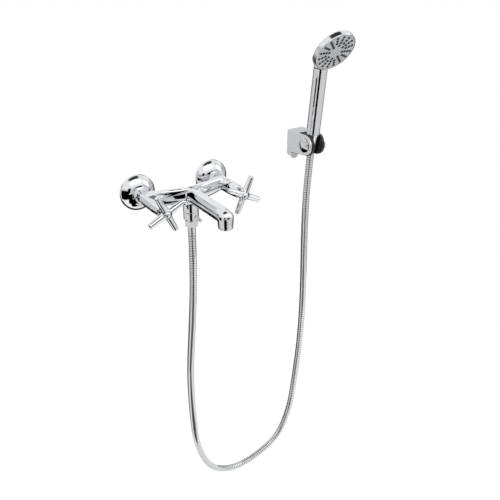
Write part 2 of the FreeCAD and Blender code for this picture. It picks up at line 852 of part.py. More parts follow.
def spout_skin():
    """Straight spout whose creases run out just before the nozzle."""
    half_width = number(d.spout_blade_half_width)
    belly_radius = number(d.spout_belly_radius)
    belly_height = -number(d.spout_belly_drop)
    across = FreeCAD.Vector(-1, 0, 0)
    flank = flank_angle(half_width, number(d.blade_height), belly_radius, belly_height)
    start = FreeCAD.Vector(0, -number(d.bar_rear_out + d.spout_root), number(axis_z))
    run_out = FreeCAD.Vector(0, -number(d.nozzle_out - d.spout_crease_run), number(axis_z))
    end = FreeCAD.Vector(0, -number(d.nozzle_out), number(axis_z))
    nozzle_height = number(d.blade_height - d.nozzle_radius)
    return Part.makeLoft([
        bladed_section(start, across, half_width, belly_radius, belly_height),
        bladed_section(run_out, across, half_width, belly_radius, belly_height),
        round_section(end, across, number(d.nozzle_radius - d.fit_gap), nozzle_height,
                      math.radians(72), flank)], True, True)


def mixer_body():
    casting = [feature("bar_skin", bar_skin()), feature("spout_skin", spout_skin())]
    nozzle = turned("nozzle_skin", (
        (0, -d.nozzle_mouth_drop), (d.nozzle_mouth_radius, -d.nozzle_mouth_drop),
        (d.nozzle_radius, d.blade_height - d.nozzle_radius),
        (0, d.blade_height, d.nozzle_radius)))
    casting.append(place(nozzle, 0, -d.nozzle_out, axis_z))
    boss = turned("boss_skin", (
        (0, -d.boss_drop), (d.boss_radius, -d.boss_drop),
        (d.boss_radius, -d.boss_shoulder_drop),
        (0, -d.boss_shoulder_drop + d.boss_crown_rise, d.boss_crown_bend)))
    casting.append(place(boss, 0, -d.diverter_out, axis_z))
    tools = []
    bar_inner_x = d.inlet_spacing / 2 - d.cartridge_bore + 2
    bar_inner_out = d.seat_out + d.seat_web + d.bar_bore
    waist = FreeCAD.Vector(0, -number(d.diverter_out) - 3, number(axis_z - d.bar_belly_drop))
    for name, side in (("hot", -1), ("cold", 1)):
        x = side * d.inlet_spacing / 2
        barrel = rod(name + "_barrel_round", d.barrel_radius, d.barrel_out, d.barrel_front)
        reach = d.barrel_radius + OVERCUT
        top = block(name + "_barrel_top", 2 * reach, reach,
                    d.barrel_front - d.barrel_out + 2 * OVERCUT,
                    -reach, d.blade_height, d.barrel_out - OVERCUT)
        casting.append(place(cut(name + "_barrel_skin", barrel, top), x, 0, axis_z, OUT_OF_WALL))
        bore = turned(name + "_barrel_bore", (
            (0, d.barrel_out - OVERCUT), (d.tail_tube_radius + d.seat_gap, d.barrel_out - OVERCUT),
            (d.tail_tube_radius + d.seat_gap, d.seat_out), (d.seat_hole, d.seat_out),
            (d.seat_hole, d.seat_out + d.seat_web), (d.cartridge_bore, d.seat_out + d.seat_web),
            (d.cartridge_bore, d.barrel_front + OVERCUT), (0, d.barrel_front + OVERCUT)))
        tools.append(place(bore, x, 0, axis_z, OUT_OF_WALL))
        start = FreeCAD.Vector(side * number(bar_inner_x), -number(bar_inner_out),
                               number(axis_z - d.bar_belly_drop))
        length = (waist - start).Length
        tools.append(cylinder(name + "_bar_bore", d.bar_bore, length, side * bar_inner_x,
                              -bar_inner_out, axis_z - d.bar_belly_drop, waist - start))
    tools.append(cylinder("spout_bore", d.spout_bore, d.nozzle_out - d.diverter_out,
                          0, -d.diverter_out, axis_z - d.spout_bore_drop,
                          FreeCAD.Vector(0, -1, 0)))
    tools.append(cylinder("nozzle_bore", d.nozzle_mouth_bore,
                          d.nozzle_mouth_drop - d.nozzle_bore_top + OVERCUT,
                          0, -d.nozzle_out, axis_z - d.nozzle_mouth_drop - OVERCUT))
    tools.append(cylinder("boss_bore", d.boss_bore,
                          d.boss_drop - d.outlet_top_drop + OVERCUT + d.fit_gap,
                          0, -d.diverter_out, axis_z - d.boss_drop - OVERCUT))
    tools.append(cylinder("boss_passage", d.spout_bore, d.outlet_top_drop - d.bar_belly_drop,
                          0, -d.diverter_out, axis_z - d.outlet_top_drop))
    return cut("mixer_body", fused("body_casting", *casting), *tools)


keep(mixer_body())


# Aerator in the spout's mouth

washer_top = -d.nozzle_bore_top - d.seat_gap
housing_top = washer_top - d.aerator_washer_thickness - d.seat_gap
ring_top = -d.nozzle_mouth_drop - d.seat_gap
ring_bottom = ring_top - d.aerator_ring_height
thread = d.nozzle_mouth_bore - d.seat_gap


def aerator_housing():
    lip = d.aerator_bore - d.aerator_lip
    lip_top = ring_bottom + d.aerator_lip_height
    return turned("aerator_housing", (
        (lip, ring_bottom), (d.aerator_ring_radius, ring_bottom),
        (d.aerator_ring_radius, ring_top), (thread, ring_top), (thread, housing_top),
        (d.aerator_bore, housing_top), (d.aerator_bore, lip_top), (lip, lip_top)))


insert = rod("aerator_insert", d.aerator_bore - d.seat_gap,
             ring_bottom + d.aerator_lip_height + d.seat_gap, housing_top)
washer = sleeve("aerator_washer", d.aerator_bore - 2 * d.aerator_lip, thread,
                washer_top - d.aerator_washer_thickness, washer_top)
for piece in (aerator_housing(), insert, washer):
    keep(place(piece, 0, -d.nozzle_out, axis_z))


# Diverter: a threaded outlet tube, a ring that turns on it with the lever, and the spool inside

ring_top_drop = d.boss_drop + d.fit_gap
clip_top_drop = d.ring_bottom_drop + d.seat_gap
ring_bore = d.outlet_radius + d.running_gap


def lever_slot():
    """Arc cut through the tube's wall, as wide as the lever's swing and its pin."""
    height = 2 * d.lever_radius + 2 * d.fit_gap
    slot = doc.addObject("Part::Cylinder", "lever_slot_sweep")
    bind(slot, "Radius", d.ring_radius)
    bind(slot, "Height", height)
    bind(slot, "Angle", d.lever_slot_angle)
    start = number(d.lever_azimuth) - 90 + (number(d.lever_slot_angle)
                                            - number(d.lever_swing)) / 2
    start -= number(d.lever_slot_angle)
    place(slot, 0, 0, -d.lever_drop - height / 2, FreeCAD.Rotation(UP, start))
    return slot


def shower_outlet():
    groove_top = -clip_top_drop
    groove_bottom = groove_top - d.outlet_clip_thickness - d.seat_gap
    groove = d.coupling_thread_radius - d.outlet_clip_groove
    throat_top = -d.spool_bottom_drop - d.spool_bottom_land
    tube = turned("shower_outlet_tube", (
        (d.outlet_throat, -d.outlet_end_drop), (d.coupling_thread_radius, -d.outlet_end_drop),
        (d.coupling_thread_radius, groove_bottom), (groove, groove_bottom),
        (groove, groove_top), (d.outlet_radius, groove_top),
        (d.outlet_radius, -d.outlet_top_drop), (d.outlet_bore, -d.outlet_top_drop),
        (d.outlet_bore, throat_top), (d.outlet_throat, throat_top)))
    return cut("shower_outlet", tube, lever_slot())


def lever_direction():
    angle = math.radians(number(d.lever_azimuth) - 90)
    return FreeCAD.Vector(math.cos(angle), math.sin(angle), 0)


def diverter_ring():
    ring = turned("diverter_ring_blank", (
        (ring_bore, -d.ring_bottom_drop), (d.ring_radius - d.ring_round, -d.ring_bottom_drop),
        (d.ring_radius, -d.ring_bottom_drop + d.ring_round, d.ring_round),
        (d.ring_radius, -ring_top_drop), (ring_bore, -ring_top_drop)))
    hole = cylinder("diverter_ring_hole", d.lever_radius + d.running_gap, d.ring_radius + OVERCUT,
                    0, 0, -d.lever_drop, lever_direction())
    return cut("diverter_ring", ring, hole)


def diverter_spool():
    half_groove = d.spool_groove / 2
    upper = -d.spool_top_drop - d.spool_top_land
    lower = -d.spool_bottom_drop + d.spool_bottom_land
    groove = d.spool_radius - d.spool_groove
    body = turned("diverter_spool_blank", (
        (d.spool_bore, -d.spool_bottom_drop), (d.spool_radius, -d.spool_bottom_drop),
        (d.spool_radius, lower - half_groove), (groove, lower - half_groove),
        (groove, lower + half_groove), (d.spool_radius, lower + half_groove),
        (d.spool_radius, upper - half_groove), (groove, upper - half_groove),
        (groove, upper + half_groove), (d.spool_radius, upper + half_groove),
        (d.spool_radius, -d.spool_top_drop), (d.spool_bore, -d.spool_top_drop)))
    hole = cylinder("diverter_spool_hole", d.lever_radius + d.running_gap, d.spool_radius + OVERCUT,
                    0, 0, -d.lever_drop, lever_direction())
    return cut("diverter_spool", body, hole)


def diverter_lever():
    """Small bent pin with a ball end, pressed into the spool through ring and tube."""
    direction = lever_direction()
    start = d.spool_bore + d.fit_gap
    bend = d.lever_bend_reach
    pin = cylinder("lever_pin", d.lever_radius, bend - start, start * direction.x,
                   start * direction.y, -d.lever_drop, direction)
    elbow = doc.addObject("Part::Sphere", "lever_elbow")
    bind(elbow, "Radius", d.lever_radius)
    place(elbow, bend * direction.x, bend * direction.y, -d.lever_drop)
    reach = number(d.lever_knob_reach - bend)
    fall = number(d.lever_knob_drop - d.lever_drop)
    slope = direction * reach - UP * fall
    stem = doc.addObject("Part::Cone", "lever_stem")
    bind(stem, "Radius1", d.lever_radius)
    bind(stem, "Radius2", d.lever_radius + d.lever_stem_flare)
    stem.Height = slope.Length
    place(stem, bend * direction.x, bend * direction.y, -d.lever_drop,
          FreeCAD.Rotation(UP, slope))
    knob = doc.addObject("Part::Sphere", "lever_knob")
    bind(knob, "Radius", d.lever_knob_radius)
    place(knob, d.lever_knob_reach * direction.x, d.lever_knob_reach * direction.y,
          -d.lever_knob_drop)
    return fused("diverter_lever", pin, elbow, stem, knob)


def diverter_orings():
    groove = d.spool_radius - d.spool_groove
    upper = o_ring("diverter_oring_upper", d.spool_radius, groove,
                   -d.spool_top_drop - d.spool_top_land)
    lower = o_ring("diverter_oring_lower", d.spool_radius, groove,
                   -d.spool_bottom_drop + d.spool_bottom_land)
    return group("diverter_orings", upper, lower)


clip = sleeve("diverter_clip", d.coupling_thread_radius - d.outlet_clip_groove + d.seat_gap,
              d.outlet_clip_radius, -clip_top_drop - d.outlet_clip_thickness,
              -clip_top_drop - d.running_gap)
for piece in (shower_outlet(), diverter_ring(), clip, diverter_spool(), diverter_lever(),
              diverter_orings()):
    keep(place(piece, 0, -d.diverter_out, axis_z))


# Hose couplings: hexagon nut at the mixer, cone nut at the hand shower

lip_top = -d.hose_nut_top_drop - d.hose_nut_length + d.hose_nut_lip
flange_bottom = lip_top + d.seat_gap
flange_top = flange_bottom + d.sleeve_flange_thickness
hose_washer_bottom = flange_top + d.seat_gap
lip_bore = d.sleeve_radius + d.fit_gap / 2

nut = chamfered_hex("hose_nut", d.hose_nut_flats, -d.hose_nut_top_drop - d.hose_nut_length,
                    d.hose_nut_length, d.union_nut_chamfer, (
                        (lip_bore, -d.hose_nut_top_drop - d.hose_nut_length - OVERCUT),
                        (lip_bore, lip_top), (d.coupling_bore, lip_top),
                        (d.coupling_bore, -d.hose_nut_top_drop + OVERCUT)))
hose_washer = sleeve("hose_washer_mixer", d.outlet_throat, d.sleeve_flange_radius,
                     hose_washer_bottom, hose_washer_bottom + d.hose_washer_thickness)
ferrule = turned("hose_ferrule_mixer", (
    (d.sleeve_bore, -d.hose_exit_drop), (d.sleeve_radius, -d.hose_exit_drop),
    (d.sleeve_radius, flange_bottom), (d.sleeve_flange_radius, flange_bottom),
    (d.sleeve_flange_radius, flange_top), (d.sleeve_bore, flange_top)))
for piece in (nut, hose_washer, ferrule):
    keep(place(piece, 0, -d.diverter_out, axis_z))


# Hand shower: every piece lies along one axis through the bracket's pivot

handset_lean = FreeCAD.Rotation(FreeCAD.Vector(1, 0, 0), number(d.handset_tilt))


def on_handset(piece):
    return keep(place(piece, d.pivot_x, -d.pivot_out, d.pivot_height, handset_lean))


def cone_radius(station):
    """Outer radius of the cone nut at a station along the axis."""
    slope = (d.cone_top_radius - d.cone_bottom_radius) / (d.cone_top - d.cone_bottom)
    return d.cone_bottom_radius + slope * (station - d.cone_bottom)


seat_top = d.cone_lip_top + d.seat_gap + d.sleeve_flange_thickness
washer_low = seat_top + d.seat_gap


def hose_cone_nut():
    recess = d.sleeve_flange_radius + d.seat_gap
    return turned("hose_cone_nut", (
        (lip_bore, d.cone_bottom), (d.cone_bottom_radius, d.cone_bottom),
        (d.cone_top_radius, d.cone_top), (d.cone_thread_bore, d.cone_top),
        (d.cone_thread_bore, seat_top), (recess, seat_top), (recess, d.cone_lip_top),
        (lip_bore, d.cone_lip_top)))


def hose_fitting():
    low = d.cone_lip_top + d.seat_gap
    return turned("hose_fitting_handset", (
        (d.sleeve_bore, d.cone_bottom), (d.sleeve_radius, d.cone_bottom),
        (d.sleeve_radius, low), (d.sleeve_flange_radius, low),
        (d.sleeve_flange_radius, seat_top), (d.sleeve_bore, seat_top)))


def handset_grip():
    bore = d.grip_radius - d.grip_wall
    floor_top = d.grip_bottom + d.grip_floor
    rounding = d.grip_edge_round
    return turned("handset_grip", (
        (d.handle_thread_bore, d.handle_thread_bottom),
        (d.handle_thread_radius, d.handle_thread_bottom),
        (d.handle_thread_radius, d.grip_bottom), (d.grip_radius - rounding, d.grip_bottom),
        (d.grip_radius, d.grip_bottom + rounding, rounding), (d.grip_radius, d.grip_top),
        (bore, d.grip_top), (bore, floor_top), (d.handle_thread_bore, floor_top)))


on_handset(hose_cone_nut())
on_handset(hose_fitting())
on_handset(sleeve("hose_washer_handset", d.outlet_throat, d.sleeve_flange_radius, washer_low,
                  d.handle_thread_bottom - d.seat_gap))
on_handset(handset_grip())
on_handset(sleeve("flow_restrictor", d.restrictor_hole, d.handle_thread_bore - d.seat_gap,
                  d.handle_thread_bottom + d.fit_gap,
                  d.handle_thread_bottom + d.fit_gap + d.restrictor_thickness))
on_handset(sleeve("inner_waterway", d.waterway_bore, d.waterway_radius,
                  d.grip_bottom + d.grip_floor + d.seat_gap, d.waterway_top))
on_handset(sleeve("neck_seal", d.grip_radius - d.grip_wall, d.grip_radius - d.fit_gap,
                  d.grip_top + d.running_gap,
                  d.grip_top + d.running_gap + d.neck_seal_thickness))

face_slope = math.radians(number(d.face_pitch))
face_forward = d.face_edge_forward + d.face_radius * math.cos(face_slope)
face_along = d.grip_top + d.face_edge_rise + d.face_radius * math.sin(face_slope)
FACE_TURN = FreeCAD.Rotation(FreeCAD.Vector(1, 0, 0), -number(d.face_pitch))


def at_face(piece):
    """Places a turned piece whose stations run back from the middle of the spray face."""
    return place(piece, 0, -face_forward, face_along, FACE_TURN)


def crown_radius(edge_radius, rise):
    return (edge_radius * edge_radius + rise * rise) / (2 * rise)


def neck_skin():
    """Knuckle that bends back from the grip and then forward into the head."""
    base = number(d.grip_top + d.neck_seal_thickness + d.seat_gap)
    grip = number(d.grip_radius)
    back = -number(face_forward)
    high = number(face_along)
    stations = (
        (0, base, grip - 0.2, 0.0), (0, base + 2, grip - 0.2, 0.0),
        (number(d.neck_kick), base + number(d.neck_kick_rise), grip - 0.5, 4.0),
        (back + number(d.neck_seat_back), high - number(d.neck_seat_drop), grip - 1.0, 24.0),
        (back + number(d.neck_end_back), high, grip - 2.5, 40.0))
    circles = []
    for backward, along, radius, lean in stations:
        angle = math.radians(lean)
        axis = FreeCAD.Vector(0, -math.sin(angle), math.cos(angle))
        circle = Part.makeCircle(radius, FreeCAD.Vector(0, backward, along), axis)
        circles.append(Part.Wire([circle]))
    return Part.makeLoft(circles, True, False)


def handset_head():
    """Moulded head: rim, dome and neck with a spigot that plugs into the grip."""
    inner = d.face_radius - d.shell_wall
    seat = d.face_radius - d.face_rim
    seat_depth = (d.plate_recess + d.plate_thickness + d.nozzle_mat_thickness
                  + 2 * d.seat_gap)
    rise = d.face_crown - d.face_band
    inner_rise = rise - d.shell_wall
    rounding = d.face_edge_round
    dome = at_face(turned("head_dome", (
        (0, d.face_band), (d.face_radius - rounding, d.face_band),
        (d.face_radius - rounding, 0), (d.face_radius, rounding, rounding),
        (d.face_radius, d.face_band),
        (0, d.face_crown, crown_radius(d.face_radius, rise)))))
    neck = feature("head_neck", neck_skin())
    spigot_radius = d.grip_radius - d.grip_wall - d.seat_gap
    spigot = cylinder("head_spigot", spigot_radius,
                      d.spigot_length + d.neck_seal_thickness + 2 * OVERCUT,
                      0, 0, d.grip_top - d.spigot_length)
    cavity = at_face(turned("head_cavity", (
        (0, -OVERCUT), (seat, -OVERCUT), (seat, seat_depth), (inner, seat_depth), (inner, d.face_band),
        (0, d.face_band + inner_rise, crown_radius(inner, inner_rise)))))
    throat = cylinder("head_throat", d.waterway_radius + d.seat_gap,
                      d.waterway_top - d.grip_top + d.spigot_length + 2 * OVERCUT,
                      0, 0, d.grip_top - d.spigot_length - OVERCUT)
    duct = cylinder("head_duct", d.waterway_bore, d.duct_length, 0, 2 * OVERCUT,
                    d.waterway_top - OVERCUT, FreeCAD.Vector(0, -18, 32))
    solid = fused("head_solid", dome, neck, spigot)
    return cut("handset_head", solid, cavity, throat, duct)


def nozzle_rows(body, name, low, radius, length, pitch_angle, cutting):
    """Adds round pins, or drills round holes, in rows that repeat around the face."""
    for row, (first, count) in enumerate(((0, 4), (1, 3))):
        sketch = body.newObject("Sketcher::SketchObject", "%s_row_%d" % (name, row))
        plane = [item for item in body.Origin.OriginFeatures if item.Role == "XY_Plane"][0]
        sketch.AttachmentSupport = [(plane, "")]
        sketch.MapMode = "FlatFace"
        sketch.setExpression("AttachmentOffset.Base.z", low.text)
        turn = math.radians(pitch_angle * row)
        for index in range(count):
            reach = d.nozzle_first_radius + (first + index) * d.nozzle_pitch
            x = reach * math.cos(turn)
            y = reach * math.sin(turn)
            spot = FreeCAD.Vector(x.value, y.value, 0)
            circle = sketch.addGeometry(Part.Circle(spot, UP, number(radius)), False)
            rule = sketch.addConstraint(Sketcher.Constraint("Radius", circle, number(radius)))
            sketch.setExpression("Constraints[%d]" % rule, radius.text)
            rule = sketch.addConstraint(Sketcher.Constraint("DistanceX", -1, 1, circle, 3, x.value))
            sketch.setExpression("Constraints[%d]" % rule, x.text)
            if row == 0:
                sketch.addConstraint(Sketcher.Constraint("PointOnObject", circle, 3, -1))
                continue
            rule = sketch.addConstraint(Sketcher.Constraint("DistanceY", -1, 1, circle, 3, y.value))
            sketch.setExpression("Constraints[%d]" % rule, y.text)
        kind = "PartDesign::Pocket" if cutting else "PartDesign::Pad"
        step = body.newObject(kind, "%s_step_%d" % (name, row))
        step.Profile = sketch
        bind(step, "Length", length)
        step.Reversed = cutting
        pattern = body.newObject("PartDesign::PolarPattern", "%s_ring_%d" % (name, row))
        pattern.Originals = [step]
        pattern.Axis = (sketch, ["N_Axis"])
        pattern.Angle = 360
        pattern.Occurrences = NOZZLE_ROWS
        body.Tip = pattern


def spray_plate():
    low = d.plate_recess
    body = rod("spray_plate", d.face_radius - d.face_rim - d.seat_gap, low,
               low + d.plate_thickness)
    doc.recompute()
    plain = body.Shape.Volume
    nozzle_rows(body, "plate_hole", low - OVERCUT, d.nozzle_pin_radius + d.seat_gap,
                d.plate_thickness + 2 * OVERCUT, 180 / NOZZLE_ROWS, True)
    doc.recompute()
    print("spray plate holes took", round(plain - body.Shape.Volume, 1), "mm3")
    return body


def spray_nozzles():
    """Rubber mat with one soft pin for each hole of the plate."""
    mat_low = d.plate_recess + d.plate_thickness + d.seat_gap
    body = rod("spray_nozzles", d.face_radius - d.face_rim - d.seat_gap, mat_low,
               mat_low + d.nozzle_mat_thickness)
    pin_low = d.plate_recess - d.nozzle_pin_proud
    nozzle_rows(body, "pin", pin_low, d.nozzle_pin_radius, mat_low + d.seat_gap - pin_low,
                180 / NOZZLE_ROWS, False)
    return body


on_handset(handset_head())
for piece in (spray_plate(), spray_nozzles()):
    lean = handset_lean.multiply(FACE_TURN)
    offset = handset_lean.multVec(
        FreeCAD.Vector(0, -number(face_forward), number(face_along)))
    keep(place(piece, d.pivot_x, offset.y - d.pivot_out, offset.z + d.pivot_height, lean))


# Wall bracket: a folded yoke on a screwed plate, with a tilting holder between its cheeks

half_width = d.yoke_width / 2
web_bottom = d.yoke_rise - d.yoke_plate


def bracket_yoke():
    front = d.yoke_front_radius
    yoke = plate("yoke_cheeks", "YZ_Plane", (
        (d.pivot_out, d.yoke_rise), (0, front), (-front, 0, front), (0, -front, front),
        (d.yoke_arch_start, -front - d.yoke_arch_drop),
        (d.pivot_out - d.yoke_foot_length, -d.yoke_fall + d.yoke_foot_lift,
         -d.yoke_arch_bend),
        (d.pivot_out - d.yoke_foot_corner, -d.yoke_fall),
        (d.pivot_out, -d.yoke_fall + d.yoke_foot_corner, d.yoke_foot_corner)),
        d.yoke_width, True)
    web_front = d.pivot_out - d.yoke_web_out
    inside = plate("yoke_inside", "YZ_Plane", (
        (d.pivot_out + OVERCUT, -2 * d.yoke_fall), (d.pivot_out + OVERCUT, web_bottom),
        (web_front, web_bottom), (web_front, 2 * d.yoke_fall),
        (-2 * front, 2 * d.yoke_fall), (-2 * front, -2 * d.yoke_fall)),
        d.yoke_width - 2 * d.yoke_plate, True)
    pin_hole = cylinder("yoke_pin_hole", d.pivot_stub_radius + d.seat_gap,
                        d.yoke_width + 2 * OVERCUT, -half_width - OVERCUT, 0, 0,
                        FreeCAD.Vector(1, 0, 0))
    return cut("bracket_yoke", yoke, inside, pin_hole)


def bracket_wall_plate():
    """Screwed plate between the cheeks; its rounded tab shows below them."""
    side = half_width - d.yoke_plate - d.fit_gap
    tab = d.wall_plate_tab_half_width
    top = web_bottom - d.fit_gap
    sheet_metal = plate("wall_plate_blank", "XZ_Plane", (
        (-tab, -d.wall_plate_tab_bottom + tab), (0, -d.wall_plate_tab_bottom, tab),
        (tab, -d.wall_plate_tab_bottom + tab, tab), (tab, -d.wall_plate_fall),
        (side, -d.wall_plate_fall), (side, top), (-side, top), (-side, -d.wall_plate_fall),
        (-tab, -d.wall_plate_fall)),
        d.wall_plate_thickness)
    holes = []
    for index, share in enumerate((-0.5, 0.5)):
        height = -d.bracket_screw_drop + share * d.bracket_screw_spacing
        holes.append(cylinder("wall_plate_hole_%d" % index,
                              d.bracket_screw_neck_radius + d.fit_gap,
                              d.wall_plate_thickness + 2 * OVERCUT, 0, OVERCUT, height,
                              FreeCAD.Vector(0, -1, 0)))
    return cut("bracket_wall_plate", sheet_metal, *holes)


def bracket_screws():
    seat = d.wall_plate_thickness + d.running_gap
    screws = []
    for index, share in enumerate((-0.5, 0.5)):
        screw = turned("bracket_screw_%d" % index, (
            (0, -d.bracket_screw_length), (d.bracket_screw_radius, -d.bracket_screw_length),
            (d.bracket_screw_radius, 0), (d.bracket_screw_neck_radius, 0),
            (d.bracket_screw_neck_radius, seat), (d.bracket_screw_head_radius, seat),
            (0, seat + d.bracket_screw_head_height,
             crown_radius(d.bracket_screw_head_radius, d.bracket_screw_head_height))))
        height = -d.bracket_screw_drop + share * d.bracket_screw_spacing
        screws.append(place(screw, 0, 0, height, OUT_OF_WALL))
    return group("bracket_screws", *screws)


def holder_fork():
    """Black drum with a tapered seat for the cone nut, open to the front for the hose."""
    across = FreeCAD.Vector(1, 0, 0)
    width = d.yoke_width - 2 * d.yoke_plate - 2 * d.drum_side_gap
    drum = cylinder("fork_drum", d.drum_radius, width, -width / 2, 0, 0, across)
    top = block("fork_top", width + 2 * OVERCUT, 2 * d.drum_radius, d.drum_radius,
                -width / 2 - OVERCUT, -d.drum_radius, d.drum_flat)
    seat = turned("fork_seat", (
        (0, -d.drum_radius - OVERCUT),
        (d.cone_bottom_radius + d.fit_gap, -d.drum_radius - OVERCUT),
        (d.cone_bottom_radius + d.fit_gap, d.cone_bottom),
        (d.cone_top_radius + d.fit_gap, d.cone_top), (0, d.cone_top)))
    reach = d.drum_radius + OVERCUT
    slot = block("fork_slot", d.drum_slot_width, reach, 2 * reach,
                 -d.drum_slot_width / 2, -reach, -reach)
    tools = [top, seat, slot]
    depth = d.pivot_stub_depth + 2 * d.seat_gap
    for name, side in (("left", -1), ("right", 1)):
        tools.append(cylinder("fork_socket_" + name, d.pivot_stub_radius + d.running_gap,
                              depth + OVERCUT, side * (width / 2 - depth), 0, 0,
                              FreeCAD.Vector(side, 0, 0)))
    return cut("holder_fork", drum, *tools)


def pivot_knobs():
    """Domed friction screws; their stubs carry the drum between the cheeks."""
    knobs = []
    reach = d.yoke_plate + d.drum_side_gap + d.pivot_stub_depth
    groove = d.pivot_knob_groove
    edge = d.pivot_knob_radius
    rise = d.pivot_knob_height - groove
    for name, side in (("left", -1), ("right", 1)):
        knob = turned("pivot_knob_" + name, (
            (0, -reach), (d.pivot_stub_radius, -reach), (d.pivot_stub_radius, d.running_gap),
            (edge - d.pivot_knob_step, d.running_gap), (edge - d.pivot_knob_step, groove),
            (edge, groove),
            (0, groove + rise, crown_radius(edge, rise))))
        turn = FreeCAD.Rotation(UP, FreeCAD.Vector(side, 0, 0))
        knobs.append(place(knob, side * half_width, 0, 0, turn))
    return group("pivot_knobs", *knobs)


keep(place(bracket_yoke(), d.pivot_x, -d.pivot_out, d.pivot_height))
keep(place(bracket_wall_plate(), d.pivot_x, 0, d.pivot_height))
keep(place(bracket_screws(), d.pivot_x, 0, d.pivot_height))
keep(place(pivot_knobs(), d.pivot_x, -d.pivot_out, d.pivot_height))
on_handset(holder_fork())


# Shower hose: hangs from the ferrule in one loop and rises to the cone nut

def hose_points():
    """Route corners, chosen by hand: first from the mixer's end, then to the hand shower's."""
    start = FreeCAD.Vector(0, -number(d.diverter_out), number(axis_z - d.hose_exit_drop))
    pivot = FreeCAD.Vector(number(d.pivot_x), -number(d.pivot_out), number(d.pivot_height))
    end = pivot + handset_lean.multVec(FreeCAD.Vector(0, 0, number(d.cone_bottom)))
    from_start = ((0, 0, -84), (-8, 1, -196), (-18.5, 2, -318), (-16, 4, -434), (-8, 6, -532),
                  (24, 7, -618), (88, 9, -660), (157, 10, -655))
    from_end = ((-53, 6, -737), (-18, 8, -664), (-6, 9, -577), (4, 9, -474), (7, 9, -372),
                (4, 9, -262), (1, 9.5, -162))
    points = [start]
    points += [start + FreeCAD.Vector(*offset) for offset in from_start]
    points += [end + FreeCAD.Vector(*offset) for offset in from_end]
    points.append(end + handset_lean.multVec(FreeCAD.Vector(0, 0, -number(d.hose_exit_run))))
    points.append(end)
    return points


def hose_spans(points):
    """Straight spans and the tangent arcs that join them, as (length, place at a distance)."""
    spans = []
    radii = []
    here = points[0]
    for index in range(1, len(points) - 1):
        before = points[index] - points[index - 1]
        after = points[index + 1] - points[index]
        start_direction = FreeCAD.Vector(before).normalize()
        end_direction = FreeCAD.Vector(after).normalize()
        turn = start_direction.getAngle(end_direction)
        inset = CORNER_SHARE * min(before.Length, after.Length)
        radius = inset / math.tan(turn / 2)
        radii.append(radius)
        arc_start = points[index] - start_direction * inset
        spans.append(("line", here, start_direction, (arc_start - here).Length))
        hinge = start_direction.cross(end_direction).normalize()
        centre = arc_start + hinge.cross(start_direction) * radius
        spans.append(("arc", centre, arc_start - centre, radius * turn, hinge, radius))
        here = points[index] + end_direction * inset
    last = FreeCAD.Vector(points[-1] - points[-2]).normalize()
    spans.append(("line", here, last, (points[-1] - here).Length))
    return spans, radii


def on_span(span, distance):
    """Point and direction on a span, a distance along it."""
    if span[0] == "line":
        return span[1] + span[2] * distance, span[2]
    _, centre, arm, _, hinge, radius = span
    turn = FreeCAD.Rotation(hinge, math.degrees(distance / radius))
    turned_arm = turn.multVec(arm)
    return centre + turned_arm, hinge.cross(turned_arm).normalize()


def on_route(spans, distance):
    for span in spans[:-1]:
        if distance <= span[3]:
            return on_span(span, distance)
        distance -= span[3]
    return on_span(spans[-1], min(distance, spans[-1][3]))


def hose_ring(place_and_direction, radius):
    """One circle square to the route, with its X axis held steady."""
    point, direction = place_and_direction
    steady = FreeCAD.Vector(0, 1, 0)
    across = steady - direction * steady.dot(direction)
    turn = FreeCAD.Rotation(across, direction.cross(across), direction, "ZXY")
    circle = Part.makeCircle(radius)
    circle.Placement = FreeCAD.Placement(point, turn)
    return Part.Wire([circle])


def shower_hose():
    """Wound metal hose: a ribbed outside with a smooth bore."""
    spans, radii = hose_spans(hose_points())
    length = sum(span[3] for span in spans)
    crest = number(d.hose_radius)
    valley = number(d.hose_valley_radius)
    bore = number(d.hose_bore)
    plain = 2 * crest
    pitch = (length - 2 * plain) / HOSE_RIBS
    outside = [hose_ring(on_route(spans, 0), crest)]
    for rib in range(HOSE_RIBS):
        for share, high in RIB_STATIONS:
            distance = plain + (rib + share) * pitch
            outside.append(hose_ring(on_route(spans, distance), crest if high else valley))
    outside.append(hose_ring(on_route(spans, length - plain), valley))
    outside.append(hose_ring(on_route(spans, length), crest))
    inside = []
    travelled = 0
    for span in spans:
        steps = 1 if span[0] == "line" else 12
        for step in range(steps):
            distance = travelled + span[3] * step / steps
            inside.append(hose_ring(on_route(spans, distance), bore))
        travelled += span[3]
    inside.append(hose_ring(on_route(spans, length), bore))
    solid = Part.makeLoft(outside, True, True).cut(Part.makeLoft(inside, True, True)).Solids[0]
    print("hose length", round(length, 1), "mm, radii", [round(radius) for radius in radii])
    tube = math.pi * (crest ** 2 - bore ** 2) * length
    print("hose volume", round(solid.Volume), "mm3, plain section times length", round(tube))
    return feature("shower_hose", solid)


keep(shower_hose())


# Checks, then one file for each sub-part

def check_model():
    doc.recompute()
    for item in doc.Objects:
        if "Invalid" in item.State or "Error" in item.State:
            raise RuntimeError("%s failed to recompute" % item.Label)
    for item in cuts:
        if item.Shape.Volume > item.Base.Shape.Volume - 0.01:
            raise RuntimeError("%s: its tools cut nothing" % item.Label)
    for item in sub_parts:
        if item.Shape.isNull() or not item.Shape.isValid() or not item.Shape.Solids:
            raise RuntimeError("%s has no valid solid" % item.Label)


check_model()
os.makedirs("parts", exist_ok=True)
for item in sub_parts:
    item.Shape.exportStep("parts/%s.step" % item.Label)
print(len(sub_parts), "sub-parts written")
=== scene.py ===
import json
import math

import bmesh
import bpy
from mathutils import Matrix, Vector, kdtree


